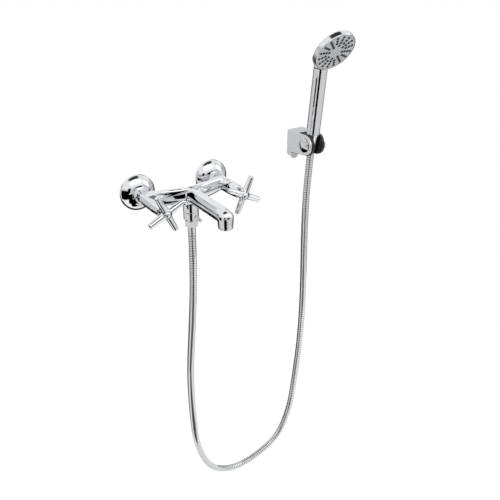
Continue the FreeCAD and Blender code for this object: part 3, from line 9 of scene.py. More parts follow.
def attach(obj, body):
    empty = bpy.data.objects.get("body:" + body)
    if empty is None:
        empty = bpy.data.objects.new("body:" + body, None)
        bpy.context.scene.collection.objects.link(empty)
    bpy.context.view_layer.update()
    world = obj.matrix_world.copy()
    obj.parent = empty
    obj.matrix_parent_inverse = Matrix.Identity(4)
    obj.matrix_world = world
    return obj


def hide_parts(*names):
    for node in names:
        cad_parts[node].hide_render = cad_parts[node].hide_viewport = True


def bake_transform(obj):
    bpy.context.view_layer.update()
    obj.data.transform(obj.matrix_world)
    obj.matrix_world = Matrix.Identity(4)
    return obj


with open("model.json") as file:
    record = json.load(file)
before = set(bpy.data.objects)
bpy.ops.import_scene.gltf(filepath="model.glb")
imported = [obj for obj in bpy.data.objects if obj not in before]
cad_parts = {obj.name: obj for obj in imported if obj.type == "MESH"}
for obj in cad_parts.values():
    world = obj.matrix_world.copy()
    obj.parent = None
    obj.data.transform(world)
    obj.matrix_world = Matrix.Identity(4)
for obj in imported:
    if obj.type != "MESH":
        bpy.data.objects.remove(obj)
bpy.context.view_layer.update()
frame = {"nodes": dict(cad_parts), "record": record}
nodes = frame["nodes"]
bpy.ops.object.select_all(action="DESELECT")

# Camera
# It stands to the left of the mixer and above it, and looks down along the wall at the whole set.
# The long side of the picture takes in the hand shower at the top and the hose's loop below.
CAMERA_PLACE = (-0.441988, -0.901060, 0.365885)
CAMERA_TURNED = -34.046
CAMERA_LOWERED = 27.151
CAMERA_ROLLED = 0.28
bpy.ops.object.camera_add(location=CAMERA_PLACE)
camera = bpy.context.object
camera.name = "camera"
camera.data.lens = 41.51
camera.matrix_world = (Matrix.Translation(CAMERA_PLACE)
                       @ Matrix.Rotation(math.radians(CAMERA_TURNED), 4, "Z")
                       @ Matrix.Rotation(math.radians(90 - CAMERA_LOWERED), 4, "X")
                       @ Matrix.Rotation(math.radians(CAMERA_ROLLED), 4, "Z"))
bpy.context.scene.camera = camera

# Shower hose
# A strip of chromed steel wound into a ribbed tube, which bends freely. It hangs from the ferrule
# under the mixer in one loop and rises to the cone nut of the hand shower.
MM = 0.001
HOSE_ROUTE = [
    (0, -58.5, -84), (0, -58.5, -168), (-8, -57.5, -280), (-18.5, -56.5, -402),
    (-16, -54.5, -518), (-8, -52.5, -616), (24, -51.5, -702), (88, -49.5, -744),
    (157, -48.5, -739), (222, -47.469, -712.951), (257, -45.469, -639.951),
    (269, -44.469, -552.951), (279, -44.469, -449.951), (282, -44.469, -347.951),
    (279, -44.469, -237.951), (276, -43.969, -137.951), (275, -46.156, -53.607),
    (275, -53.469, 24.049)]
RIB_PITCH = 5.1
TOP_RIBS = 18
# One rib, from seam to seam: share of the pitch, radius, and the painted shade it gets in the
# groove.
RIB_PROFILE = ((0.0, 6.25, 1), (0.07, 6.7, 0.8), (0.12, 6.93, 0.2), (0.155, 7.0, 0), (0.19, 7.0, 0),
               (0.78, 7.0, 0), (0.815, 7.0, 0), (0.85, 6.93, 0.2), (0.9, 6.7, 0.8), (0.97, 6.25, 1))


def in_scene(name, data):
    """A new object that carries the data, linked into the scene."""
    made = bpy.data.objects.new(name, data)
    bpy.context.collection.objects.link(made)
    return made


def select_only(piece):
    """Selects one piece and makes it the active one."""
    bpy.ops.object.select_all(action="DESELECT")
    piece.select_set(True)
    bpy.context.view_layer.objects.active = piece


def route_line(name, corners):
    """The hose's centreline: points along a NURBS curve through the listed corners."""
    curve = bpy.data.curves.new(name, "CURVE")
    curve.dimensions = "3D"
    spline = curve.splines.new("NURBS")
    spline.points.add(len(corners) - 1)
    for point, corner in zip(spline.points, corners):
        point.co = (*(value * MM for value in corner), 1)
    spline.order_u = 3
    spline.use_endpoint_u = True
    curve.resolution_u = 40
    holder = in_scene(name, curve)
    mesh = bpy.data.meshes.new_from_object(holder)
    line = [vertex.co.copy() for vertex in mesh.vertices]
    bpy.data.objects.remove(holder)
    bpy.data.meshes.remove(mesh)
    return line


def spot_on(line, stops, distance):
    """Point and direction on the centreline, a distance from its start."""
    low, high = 0, len(stops) - 1
    while high - low > 1:
        middle = (low + high) // 2
        if stops[middle] <= distance:
            low = middle
        else:
            high = middle
    share = (distance - stops[low]) / (stops[high] - stops[low])
    return line[low].lerp(line[high], share), (line[high] - line[low]).normalized()


def wound_tube(name, line, first, last, pitch, sides=24):
    """Ribbed tube along part of the centreline, from one rib's edge to another's."""
    stops = [0.0]
    for before, after in zip(line, line[1:]):
        stops.append(stops[-1] + (after - before).length)
    # Each station carries the weight of painted shade in the groove between turns.
    stations = [((rib + share) * pitch, radius, depth) for rib in range(first, last)
                for share, radius, depth in RIB_PROFILE]
    stations.append((min(last * pitch, stops[-1]), *RIB_PROFILE[0][1:]))
    points = []
    seam_shade_weights = []
    path = []
    across = Vector((0, 1, 0))
    for distance, radius, depth in stations:
        spot, along = spot_on(line, stops, distance)
        across = (across - along * across.dot(along)).normalized()
        upward = along.cross(across)
        path.append(spot)
        seam_shade_weights += [depth] * sides
        for side in range(sides):
            turn = 2 * math.pi * side / sides
            points.append(spot + (across * math.cos(turn) + upward * math.sin(turn)) * radius * MM)
    faces = []
    for ring in range(len(stations) - 1):
        for side in range(sides):
            low, high = ring * sides, (ring + 1) * sides
            after = (side + 1) % sides
            faces.append((low + side, low + after, high + after, high + side))
    faces.append(tuple(range(sides))[::-1])
    faces.append(tuple(range(len(points) - sides, len(points))))
    mesh = bpy.data.meshes.new(name)
    mesh.from_pydata(points, [], faces)
    # Painted shade: each point's weight, 1 deep in the groove between turns, darkens the hose's
    # colour there.
    seam_shade_layer = mesh.attributes.new("seam_shade", "FLOAT", "POINT")
    seam_shade_layer.data.foreach_set("value", seam_shade_weights)
    tube = in_scene(name, mesh)
    select_only(tube)
    bpy.ops.object.shade_smooth()
    tube.select_set(False)
    return tube, path


def surface_group(name, size_label, size_limits, clouds, fine, span, darkest):
    """Clouds of tone and gloss and a fine relief over a surface. Clouds and relief are noises of
    (scale, detail), and the group's first input sets the scale that is None."""
    group = bpy.data.node_groups.new(name, "ShaderNodeTree")
    for label, low, high in ((size_label, *size_limits), ("Low Roughness", 0, 1),
                             ("High Roughness", 0, 1)):
        socket = group.interface.new_socket(label, in_out="INPUT", socket_type="NodeSocketFloat")
        socket.min_value = low
        socket.max_value = high
    for label in ("Tone", "Roughness", "Relief"):
        group.interface.new_socket(label, in_out="OUTPUT", socket_type="NodeSocketFloat")
    tree = group.nodes
    links = group.links
    inputs = tree.new("NodeGroupInput")
    outputs = tree.new("NodeGroupOutput")
    place = tree.new("ShaderNodeTexCoord")
    noises = []
    for scale, detail in (clouds, fine):
        noise = tree.new("ShaderNodeTexNoise")
        noise.inputs["Detail"].default_value = detail
        links.new(place.outputs["Object"], noise.inputs["Vector"])
        if scale is None:
            links.new(inputs.outputs[size_label], noise.inputs["Scale"])
        else:
            noise.inputs["Scale"].default_value = scale
        noises.append(noise.outputs["Fac"])
    gloss = tree.new("ShaderNodeMapRange")
    links.new(noises[0], gloss.inputs["Value"])
    gloss.inputs["From Min"].default_value = span[0]
    gloss.inputs["From Max"].default_value = span[1]
    links.new(inputs.outputs["Low Roughness"], gloss.inputs["To Min"])
    links.new(inputs.outputs["High Roughness"], gloss.inputs["To Max"])
    tone = tree.new("ShaderNodeMapRange")
    links.new(noises[0], tone.inputs["Value"])
    tone.inputs["To Min"].default_value = darkest
    tone.inputs["To Max"].default_value = 1.0
    links.new(tone.outputs["Result"], outputs.inputs["Tone"])
    links.new(gloss.outputs["Result"], outputs.inputs["Roughness"])
    links.new(noises[1], outputs.inputs["Relief"])
    return group


def surface(name, group, colour, size, roughnesses, relief, strength, metallic):
    """A material whose colour, gloss and relief (in mm) vary over it as a group says."""
    material = bpy.data.materials.new(name)
    material.use_nodes = True
    tree = material.node_tree.nodes
    links = material.node_tree.links
    shader = tree["Principled BSDF"]
    shader.inputs["Metallic"].default_value = metallic
    look = tree.new("ShaderNodeGroup")
    look.node_tree = group
    for socket, value in zip(look.inputs, (size, *roughnesses)):
        socket.default_value = value
    tint = tree.new("ShaderNodeMix")
    tint.data_type = "RGBA"
    tint.blend_type = "MULTIPLY"
    tint.inputs["Factor"].default_value = 1
    tint.inputs["A"].default_value = (*colour, 1)
    links.new(look.outputs["Tone"], tint.inputs["B"])
    links.new(tint.outputs["Result"], shader.inputs["Base Color"])
    links.new(look.outputs["Roughness"], shader.inputs["Roughness"])
    bump = tree.new("ShaderNodeBump")
    bump.inputs["Strength"].default_value = strength
    bump.inputs["Distance"].default_value = relief * MM
    links.new(look.outputs["Relief"], bump.inputs["Height"])
    links.new(bump.outputs["Normal"], shader.inputs["Normal"])
    return material


polish = surface_group("polish", "Wave Size", (1, 400), clouds=(None, 3), fine=(900, 2),
                       span=(0.3, 0.7), darkest=0.95)


def plated_metal(name, colour, wave_size, low_roughness, high_roughness, relief=0.004):
    """Bright plated metal, whose gloss and fine hairlines vary a little, as on a buffed casting."""
    return surface(name, polish, colour, wave_size, (low_roughness, high_roughness), relief,
                   strength=0.15, metallic=1)


def coat(piece, material):
    """Gives a piece its one finish."""
    piece.data.materials.clear()
    piece.data.materials.append(material)


def painted_seam_shade(material, darkest):
    """Paints shade into a metal's colour where two turns of the strip meet, as each point's shade
    weight says.
    """
    tree = material.node_tree.nodes
    links = material.node_tree.links
    colour = tree["Principled BSDF"].inputs["Base Color"]
    seam_shade = tree.new("ShaderNodeAttribute")
    seam_shade.attribute_name = "seam_shade"
    shade = tree.new("ShaderNodeMix")
    shade.data_type = "RGBA"
    links.new(seam_shade.outputs["Fac"], shade.inputs["Factor"])
    links.new(colour.links[0].from_socket, shade.inputs["A"])
    shade.inputs["B"].default_value = (darkest, darkest, darkest, 1)
    links.new(shade.outputs["Result"], colour)


hose_steel = plated_metal("hose_steel", (0.82, 0.83, 0.85), 60, 0.02, 0.06)
# Painted shade: the grooves between turns are darkened nearly to black in the hose's colour.
painted_seam_shade(hose_steel, 0.06)
hose_centre = route_line("hose_route", HOSE_ROUTE)
centre_length = sum((b - a).length for a, b in zip(hose_centre, hose_centre[1:]))
ribs = round(centre_length / MM / RIB_PITCH)
rib_pitch = centre_length / ribs
hose_long, long_path = wound_tube("shower_hose_run", hose_centre, 0, ribs - TOP_RIBS, rib_pitch)
hose_top, top_path = wound_tube("shower_hose_end", hose_centre, ribs - TOP_RIBS, ribs, rib_pitch)
for tube in (hose_long, hose_top):
    coat(tube, hose_steel)
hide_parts("shower_hose")
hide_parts("shower_hose")
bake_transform(hose_long)
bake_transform(hose_top)

# Wall roses
# Pressed brass domes that cover the holes in the wall, chromed. Each slides over its union and
# stands against the tiles on a rolled rim.
AXIS_Z = -8
INLETS = (("hot", -75), ("cold", 75))
OUT_OF_WALL = (math.radians(90), 0, 0)
POLE = 0.0005
WELD = 0.000002
SMOOTH_BELOW = 50


def modify(piece, kind, **settings):
    """Adds a modifier with some settings to the active piece, and applies it."""
    step = piece.modifiers.new("step", kind)
    for setting, value in settings.items():
        setattr(step, setting, value)
    bpy.ops.object.modifier_apply(modifier=step.name)


def set_in_place(piece, place, tilt, edge=0.0, sharpest=32):
    """Breaks the sharp edges, smooths the rest, and puts the mesh where the piece belongs."""
    select_only(piece)
    bpy.ops.object.transform_apply(location=True, rotation=True, scale=True)
    if edge:
        modify(piece, "BEVEL", width=edge * MM, segments=3, limit_method="ANGLE",
               angle_limit=math.radians(sharpest))
    bpy.ops.object.shade_smooth_by_angle(angle=math.radians(SMOOTH_BELOW))
    modify(piece, "WEIGHTED_NORMAL", keep_sharp=True, weight=60)
    piece.rotation_euler = tilt
    piece.location = [value * MM for value in place]
    bpy.ops.object.transform_apply(location=True, rotation=True, scale=True)
    piece.select_set(False)
    return piece


def turn_on_lathe(name, template, place=(0, 0, 0), tilt=(0, 0, 0), segments=96, edge=0.0):
    """Draws a ring of points up the axis from station to station, as a lathe tool follows a
    template of (radius, station). A ring closed on itself is a tube, and open ends are filled."""
    bpy.ops.object.select_all(action="DESELECT")
    radius, station = max(template[0][0], POLE), template[0][1]
    bpy.ops.mesh.primitive_circle_add(vertices=segments, radius=radius * MM, fill_type="NOTHING",
                                      location=(0, 0, station * MM))
    piece = bpy.context.object
    piece.name = name
    bpy.ops.object.mode_set(mode="EDIT")
    bpy.ops.mesh.select_mode(type="VERT")
    bpy.ops.mesh.select_all(action="SELECT")
    for next_radius, next_station in template[1:]:
        bpy.ops.mesh.extrude_region_move(
            TRANSFORM_OT_translate={"value": (0, 0, (next_station - station) * MM)})
        size = max(next_radius, POLE) / radius
        bpy.ops.transform.resize(value=(size, size, 1), center_override=(0, 0, 0))
        radius, station = max(next_radius, POLE), next_station
    bpy.ops.mesh.select_all(action="SELECT")
    bpy.ops.mesh.remove_doubles(threshold=WELD)
    bpy.ops.mesh.select_all(action="SELECT")
    bpy.ops.mesh.fill_holes(sides=0)
    bpy.ops.mesh.select_all(action="SELECT")
    bpy.ops.mesh.normals_make_consistent(inside=False)
    bpy.ops.object.mode_set(mode="OBJECT")
    return set_in_place(piece, place, tilt, edge)


def arc(centre, radius, first, last, steps):
    """Stations of a template on an arc about (radius, station), angles in degrees."""
    turns = [math.radians(first + (last - first) * step / steps) for step in range(steps + 1)]
    return [(centre[0] + radius * math.cos(turn), centre[1] + radius * math.sin(turn))
            for turn in turns]


def crowned(start, end, radius, steps):
    """Stations from start to end on an arc that bulges away from the axis."""
    first, last = Vector(start), Vector(end)
    chord = last - first
    rise = math.sqrt(max(radius ** 2 - (chord.length / 2) ** 2, 0))
    centre = (first + last) / 2 + Vector((-chord.y, chord.x)).normalized() * rise
    angle_a = math.atan2(first.y - centre.y, first.x - centre.x)
    angle_b = math.atan2(last.y - centre.y, last.x - centre.x)
    return arc(centre, radius, math.degrees(angle_a), math.degrees(angle_b), steps)


chrome = plated_metal("chrome", (0.83, 0.84, 0.86), 45, 0.015, 0.05)
rose_template = ([(31.2, 0), (31.9, 0), (32.2, 0.4), (32.2, 5.6)]
                 + crowned((32.0, 6.2), (13.52, 19.2), 26, 20)
                 + [(13.52, 18.2)] + crowned((31.2, 5.6), (13.9, 18.2), 25, 12)[::-1]
                 + [(31.2, 0)])
for side, x in INLETS:
    rose = turn_on_lathe(side + "_rose", rose_template, (x, 0, AXIS_Z), OUT_OF_WALL, 128, 0.15)
    coat(rose, chrome)
    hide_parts(side + "_escutcheon")
    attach(rose, "mixer")

# Wall unions, tails and union nuts
# Cast brass unions screw into the wall, a flanged brass tail sits against each on a rubber
# washer, and a chromed hexagon nut with turned corners draws the two together.
NUT_EDGE = 0.25
NUT_WELD = 0.00001
TURNED_SLOPE = 0.55


def combine(piece, tool, operation="DIFFERENCE"):
    """Cuts a tool's shape out of a piece, or joins or intersects them, and clears the tool away."""
    select_only(piece)
    modify(piece, "BOOLEAN", operation=operation, solver="EXACT", object=tool)
    bpy.data.objects.remove(tool)


def hexagon_nut(name, flats, low, length, chamfer, bore, place, tilt):
    """A hexagon bar with its corners turned off at both ends, bored through to a template."""
    corner = flats / math.sqrt(3)
    slope = chamfer * TURNED_SLOPE
    body = ([(bore[0][0], low), (corner - chamfer, low), (corner, low + slope),
             (corner, low + length - slope), (corner - chamfer, low + length)]
            + bore[::-1])
    nut = turn_on_lathe(name, body)
    bpy.ops.object.select_all(action="DESELECT")
    bpy.ops.mesh.primitive_cylinder_add(vertices=6, radius=corner * MM, depth=(length + 4) * MM,
                                        location=(0, 0, (low + length / 2) * MM),
                                        rotation=(0, 0, math.radians(30)))
    combine(nut, bpy.context.object, "INTERSECT")
    bpy.ops.object.mode_set(mode="EDIT")
    bpy.ops.mesh.select_all(action="SELECT")
    bpy.ops.mesh.remove_doubles(threshold=NUT_WELD)
    bpy.ops.object.mode_set(mode="OBJECT")
    return set_in_place(nut, place, tilt, NUT_EDGE, 30)


brass = plated_metal("turned_brass", (0.72, 0.55, 0.27), 80, 0.22, 0.38, 0.1)
for side, x in INLETS:
    nut = hexagon_nut(side + "_wall_nut", flats=29.5, low=20, length=11, chamfer=1.6,
                      bore=[(13.37, 20), (13.37, 28.3), (9.7, 28.3), (9.7, 31)],
                      place=(x, 0, AXIS_Z), tilt=OUT_OF_WALL)
    coat(nut, chrome)
    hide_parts(side + "_union_nut")
    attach(nut, "mixer")
    for label in ("_union", "_inlet_tail"):
        coat(nodes[side + label], brass)

# Mixer body
# One brass casting: two barrels, the gull-wing bar between them and the spout, all with one flat
# blade on top. It is ground, buffed and chromed, so its corners run soft into each other.
BLADE_Z = 2.5
BLADE_SPARE = 0.004
BLADE_WELD = 0.0003
CASTING_GRAIN = 0.85
CASTING_SMOOTH_BELOW = 40


def near_any(point, shafts):
    """Whether a point lies within one of some round shafts: (start, end, radius) in mm."""
    for start, end, radius in shafts:
        start, end = Vector(start) * MM, Vector(end) * MM
        run = end - start
        share = max(0, min(1, (point - start).dot(run) / run.length_squared))
        if (point - start - run * share).length < radius * MM:
            return True
    return False


def copied_mesh(node, name):
    """A copy of a CAD node's mesh with its loose triangles joined."""
    piece = in_scene(name, nodes[node].data.copy())
    select_only(piece)
    bpy.ops.object.mode_set(mode="EDIT")
    bpy.ops.mesh.select_all(action="SELECT")
    bpy.ops.mesh.remove_doubles(threshold=WELD)
    bpy.ops.mesh.normals_make_consistent(inside=False)
    bpy.ops.mesh.select_all(action="DESELECT")
    bpy.ops.object.mode_set(mode="OBJECT")
    bpy.ops.mesh.customdata_custom_splitnormals_clear()
    return piece


def pick(piece, faces=None, corners=None):
    """Goes into edit mode on a piece with only the faces, or only the corners, that pass a test."""
    bpy.context.view_layer.objects.active = piece
    bpy.context.tool_settings.mesh_select_mode = (corners is not None, False, faces is not None)
    for elements in (piece.data.vertices, piece.data.edges, piece.data.polygons):
        elements.foreach_set("select", [False] * len(elements))
    for element in (piece.data.polygons if faces else piece.data.vertices):
        element.select = (faces or corners)(element)
    bpy.ops.object.mode_set(mode="EDIT")


def hollow_corners(piece, inside, steepest=-0.35):
    """Spots along the outer edges where two faces of a piece meet in a hollow corner."""
    shape = bmesh.new()
    shape.from_mesh(piece.data)
    spots = []
    for edge in shape.edges:
        if len(edge.link_faces) == 2 and edge.calc_face_angle_signed() < steepest:
            first, last = edge.verts[0].co, edge.verts[1].co
            middle = (first + last) / 2
            if inside(middle):
                continue
            count = max(1, int((last - first).length / 0.001))
            spots += [first.lerp(last, step / count) for step in range(count + 1)]
    shape.free()
    return spots


def sliced(piece, spot, direction):
    """Cuts away all of a piece that lies beyond a plane, and closes the cut."""
    select_only(piece)
    bpy.ops.object.mode_set(mode="EDIT")
    bpy.ops.mesh.select_all(action="SELECT")
    bpy.ops.mesh.bisect(plane_co=spot, plane_no=direction, use_fill=True, clear_outer=True)
    bpy.ops.object.mode_set(mode="OBJECT")


def poured_casting(name, node, inside, near, far, passes, raise_blade=False):
    """A casting in one skin, its hollow corners filled in a curve as the wax model had them."""
    piece = copied_mesh(node, name)
    if raise_blade:
        pick(piece, faces=lambda face: face.normal.z > 0.99
             and abs(face.center.z - BLADE_Z * MM) < 0.00002)
        bpy.ops.mesh.extrude_region_move(TRANSFORM_OT_translate={"value": (0, 0, BLADE_SPARE)})
        bpy.ops.object.mode_set(mode="OBJECT")
    spots = hollow_corners(piece, inside)
    tree = kdtree.KDTree(len(spots))
    for index, spot in enumerate(spots):
        tree.insert(spot, index)
    tree.balance()
    pattern = in_scene(name + "_pattern", piece.data.copy())
    piece.data.remesh_voxel_size = CASTING_GRAIN * MM
    piece.data.remesh_voxel_adaptivity = 0
    bpy.ops.object.voxel_remesh()
    soft = piece.vertex_groups.new(name="soft")
    firm = piece.vertex_groups.new(name="firm")
    for vertex in piece.data.vertices:
        gap = tree.find(vertex.co)[2] / MM
        weight = max(0, min(1, (far - gap) / (far - near)))
        soft.add([vertex.index], weight, "REPLACE")
        firm.add([vertex.index], 1 - weight, "REPLACE")
    modify(piece, "SMOOTH", factor=0.5, iterations=3)
    modify(piece, "SHRINKWRAP", target=pattern, vertex_group="firm")
    modify(piece, "SMOOTH", factor=0.5, iterations=passes, vertex_group="soft")
    bpy.data.objects.remove(pattern)
    if raise_blade:
        sliced(piece, (0, 0, BLADE_Z * MM), (0, 0, 1))
        pick(piece, corners=lambda corner: abs(corner.co.z - BLADE_Z * MM) < 0.000001)
        bpy.ops.mesh.remove_doubles(threshold=BLADE_WELD)
        bpy.ops.object.mode_set(mode="OBJECT")
    bpy.ops.object.shade_smooth_by_angle(angle=math.radians(CASTING_SMOOTH_BELOW))
    piece.select_set(False)
    return piece


waterways = [((x, -30, AXIS_Z), (x, -79, AXIS_Z), 11.7) for _, x in INLETS]
waterways += [((x * 0.9, -44.5, -11.5), (0, -61.5, -11.5), 6.8) for _, x in INLETS]
waterways += [((0, -58.5, -11), (0, -176, -11), 7.2), ((0, -176, -11), (0, -176, -26), 12.2),
              ((0, -58.5, -12), (0, -58.5, -42), 11.2)]
body = poured_casting("body_casting", "mixer_body", lambda point: near_any(point, waterways),
                      near=2.2, far=6.5, passes=45, raise_blade=True)
coat(body, chrome)
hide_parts("mixer_body")
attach(body, "mixer")

# Headworks and bonnet covers
# Quarter-turn brass cartridges screw into the barrels. A chromed tapered cover hides each one,
# with a flat on top that carries the blade of the body forward.
COVER_BACK = 78.3


def bonnet_cover(name, place):
    """A tapered cover, hollow for the cartridge, with a flat milled on top."""
    shroud = turn_on_lathe(name, [(9.5, COVER_BACK), (11.6, COVER_BACK), (12, COVER_BACK + 0.4),
                                  (11.86, 81)] + crowned((10.5, 100), (9.2, 104), 6, 8)
                           + [(8.6, 104.1), (8.1, 104.1), (8.1, 101.2), (9.5, 101),
                              (9.5, COVER_BACK)])
    sliced(shroud, (0, (BLADE_Z - AXIS_Z) * MM, 0), (0, 1, 0))
    return set_in_place(shroud, place, OUT_OF_WALL)


for side, x in INLETS:
    cover = bonnet_cover(side + "_cover", (x, 0, AXIS_Z))
    coat(cover, chrome)
    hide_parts(side + "_bonnet_cover")
    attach(cover, "mixer")

# Cross handles
# Each is one zinc casting: a waisted hub with four tapering arms, buffed and chromed, and a screw
# under a small domed cap holds it on the spindle.
HANDLE_TURN = 25.8
ARM_OUT = 117
ARM_REACH = 35.3
ARM_ROOT = 8
HUB_BACK = 105.3
HUB_HALF = 6.1
ARM_STATIONS = ((9.5, 5.75), (20, 5.3), (30.5, 4.85), (34.6, 4.8), (36.3, 3.9))
NECK_STATIONS = ((8.4, 6.9), (10.8, 8.2), (12, 8.8))
SQUARE_FOR_ROUND = 1.076
SQUARENESS = 0.014


def drawn_out(block, along, stations):
    """Draws one side of the hub's block out through stations of (reach, half width)."""
    along = Vector(along)
    hub = Vector((0, 0, ARM_OUT * MM))
    reach, half = HUB_HALF * SQUARE_FOR_ROUND, HUB_HALF
    for next_reach, next_half in stations:
        pick(block, faces=lambda face: face.normal.dot(along) > 0.99
             and abs((face.center - hub).dot(along) - reach * MM) < 0.00001)
        bpy.ops.mesh.extrude_region_move(
            TRANSFORM_OT_translate={"value": along * (next_reach - reach) * MM})
        size = next_half / half
        bpy.ops.transform.resize(value=(size, size, size),
                                 center_override=along * next_reach * MM + hub)
        bpy.ops.object.mode_set(mode="OBJECT")
        reach, half = next_reach, next_half


def true_up(cross):
    """Takes the faint squareness of the drawn block off the arms, so that each is a round cone."""
    for vertex in cross.data.vertices:
        x, y = vertex.co.x / MM, vertex.co.y / MM
        height = vertex.co.z / MM - ARM_OUT
        across = y if abs(x) > abs(y) else x
        weight = max(0, min(1, (max(abs(x), abs(y)) - ARM_ROOT) / 3))
        square = math.cos(4 * math.atan2(height, across))
        size = 1 + weight * (1 / (1 - SQUARENESS * square) - 1)
        if abs(x) > abs(y):
            vertex.co.y *= size
        else:
            vertex.co.x *= size
        vertex.co.z = (ARM_OUT + height * size) * MM


def cast_cross(name):
    """Draws the hub and the arms out of one block, then rounds them all together."""
    bpy.ops.object.select_all(action="DESELECT")
    bpy.ops.mesh.primitive_cube_add(size=2 * HUB_HALF * SQUARE_FOR_ROUND * MM,
                                    location=(0, 0, ARM_OUT * MM))
    cross = bpy.context.object
    cross.name = name
    bpy.ops.object.transform_apply(location=True, rotation=True, scale=True)
    for along in ((1, 0, 0), (-1, 0, 0), (0, 1, 0), (0, -1, 0)):
        drawn_out(cross, along, ARM_STATIONS)
    drawn_out(cross, (0, 0, -1), NECK_STATIONS)
    modify(cross, "SUBSURF", levels=4, render_levels=4)
    true_up(cross)
    reached = max(vertex.co.x for vertex in cross.data.vertices)
    size = ARM_REACH * MM / reached
    bpy.ops.object.mode_set(mode="EDIT")
    bpy.ops.mesh.select_all(action="SELECT")
    bpy.ops.transform.resize(value=(size, size, 1), center_override=(0, 0, 0))
    bpy.ops.object.mode_set(mode="OBJECT")
    sliced(cross, (0, 0, HUB_BACK * MM), (0, 0, -1))
    socket = turn_on_lathe("socket", [(0, 104), (4.05, 104), (4.05, 114.3), (2.05, 114.4),
                                      (2.05, 115.6), (4.2, 115.7), (4.2, 119.5), (6.6, 119.6),
                                      (7.2, 126), (0, 126)], segments=48)
    combine(cross, socket)
    return cross


cap_template = ([(0, 117.95), (4.0, 117.95), (4.0, 119.6), (6.1, 119.6)]
                + crowned((6.2, 119.8), (0, 125), 6.3, 14))
for side, x in INLETS:
    turn = math.radians(HANDLE_TURN if side == "hot" else -HANDLE_TURN)
    turned = (Matrix.Rotation(turn, 4, (0, -1, 0))
              @ Matrix.Rotation(OUT_OF_WALL[0], 4, "X")).to_euler()
    cross = set_in_place(cast_cross(side + "_cross"), (x, 0, AXIS_Z), turned)
    cap = turn_on_lathe(side + "_cap", cap_template, (x, 0, AXIS_Z), OUT_OF_WALL, 64)
    for piece, node in ((cross, "_handle"), (cap, "_hub_cap")):
        coat(piece, chrome)
        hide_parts(side + node)
        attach(piece, side + "_tap")

# Aerator
# A chromed brass ring screws into the spout's mouth and holds a moulded insert, whose rings and
# holes mix air into the water.
NOZZLE = (0, -176, AXIS_Z)
moulding = surface_group("moulding", "Grain Size", (10, 6000), clouds=(35, 2), fine=(None, 4),
                         span=(0, 1), darkest=0.88)


def moulded(name, colour, grain_size, low_roughness, high_roughness, relief):
    """Moulded plastic, rubber or clay of one colour, with the tool's grain on its surface."""
    return surface(name, moulding, colour, grain_size, (low_roughness, high_roughness), relief,
                   strength=0.4, metallic=0)


def joined(pieces):
    """Joins pieces into the first of them."""
    bpy.ops.object.select_all(action="DESELECT")
    for piece in pieces:
        piece.select_set(True)
    bpy.context.view_layer.objects.active = pieces[0]
    bpy.ops.object.join()
    return pieces[0]


def punched(piece, spots, low, high, radius):
    """Punches round holes through a disc at (across, along) spots."""
    bpy.ops.object.select_all(action="DESELECT")
    punches = []
    for across, along in spots:
        bpy.ops.mesh.primitive_cylinder_add(
            vertices=10, radius=radius * MM, depth=(high - low) * MM,
            location=(across * MM, along * MM, (low + high) / 2 * MM))
        punches.append(bpy.context.object)
    tool = joined(punches)
    bpy.ops.object.transform_apply(location=True, rotation=True, scale=True)
    combine(piece, tool)


white_plastic = moulded("white_plastic", (0.78, 0.78, 0.76), 900, 0.35, 0.5, 0.02)
ring = turn_on_lathe("aerator_ring", [(9.2, -21.4), (9.5, -21.7), (11.7, -21.4), (12.15, -21),
                                      (12.15, -17.7), (11.5, -17.6), (11.5, -9), (10, -9),
                                      (10, -20.4), (9.2, -20.6), (9.2, -21.4)], NOZZLE, edge=0.1)
coat(ring, chrome)
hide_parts("aerator_housing")
insert = turn_on_lathe("aerator_insert_moulding",
                       [(0, -20.3), (1.6, -20.3), (2.0, -19.6), (3.9, -19.6), (4.3, -20.3),
                        (5.1, -20.3), (5.4, -19.6), (7.2, -19.6), (7.5, -20.3), (8.2, -20.3),
                        (8.5, -19.6), (9.8, -19.6), (9.8, -9.1), (0, -9.1)], segments=72)
holes = [(reach * math.cos(turn), reach * math.sin(turn))
         for reach, count in ((3, 8), (6.3, 16), (9.0, 24))
         for turn in [2 * math.pi * index / count for index in range(count)]]
punched(insert, holes, low=-22, high=-15, radius=0.55)
set_in_place(insert, NOZZLE, (0, 0, 0))
coat(insert, white_plastic)
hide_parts("aerator_insert")
for piece in (ring, insert):
    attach(piece, "mixer")

# Diverter
# A ring under the body turns on the threaded outlet tube and carries a small lever. Inside, a
# sealed spool sends the water to the spout or to the shower hose.
DIVERTER = (0, -58.5, AXIS_Z)
LEVER_AZIMUTH = math.radians(15 - 90)
LEVER_OUT = Vector((math.cos(LEVER_AZIMUTH), math.sin(LEVER_AZIMUTH), 0))


def pointing(direction):
    """Turns a piece made along Z to point in a direction."""
    return Vector(direction).to_track_quat("Z", "Y").to_euler()


turning_ring = turn_on_lathe("diverter_collar", [(10.66, -48), (12.2, -48)]
                             + crowned((12.2, -48), (13.8, -46.4), 1.6, 6)
                             + [(13.8, -33.1), (13.4, -32.3), (10.66, -32.3), (10.66, -48)],
                             DIVERTER, edge=0.15)
coat(turning_ring, chrome)
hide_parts("diverter_ring")
RING_DOWN = Vector((0, 0, -38))
KNOB_DOWN = Vector((0, 0, -45))
elbow = Vector(DIVERTER) + LEVER_OUT * 14.8 + RING_DOWN
knob = Vector(DIVERTER) + LEVER_OUT * 22.9 + KNOB_DOWN
lever = turn_on_lathe("diverter_pin",
                      [(0, 3.9), (1.8, 3.9)] + crowned((1.8, 14.8), (0, 16.6), 1.8, 6),
                      Vector(DIVERTER) + RING_DOWN, pointing(LEVER_OUT), 32)
slope = knob - elbow
stem = turn_on_lathe("stem", [(0, -1.2), (1.5, -0.9), (1.8, 0.4), (2.0, 5), (2.3, 7)]
                     + arc((0, slope.length), 3.2, -48, 90, 12), elbow, pointing(slope), 32)
combine(lever, stem, "UNION")
set_in_place(lever, (0, 0, 0), (0, 0, 0))
coat(lever, chrome)
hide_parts("diverter_lever")
for piece in (turning_ring, lever):
    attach(piece, "diverter")

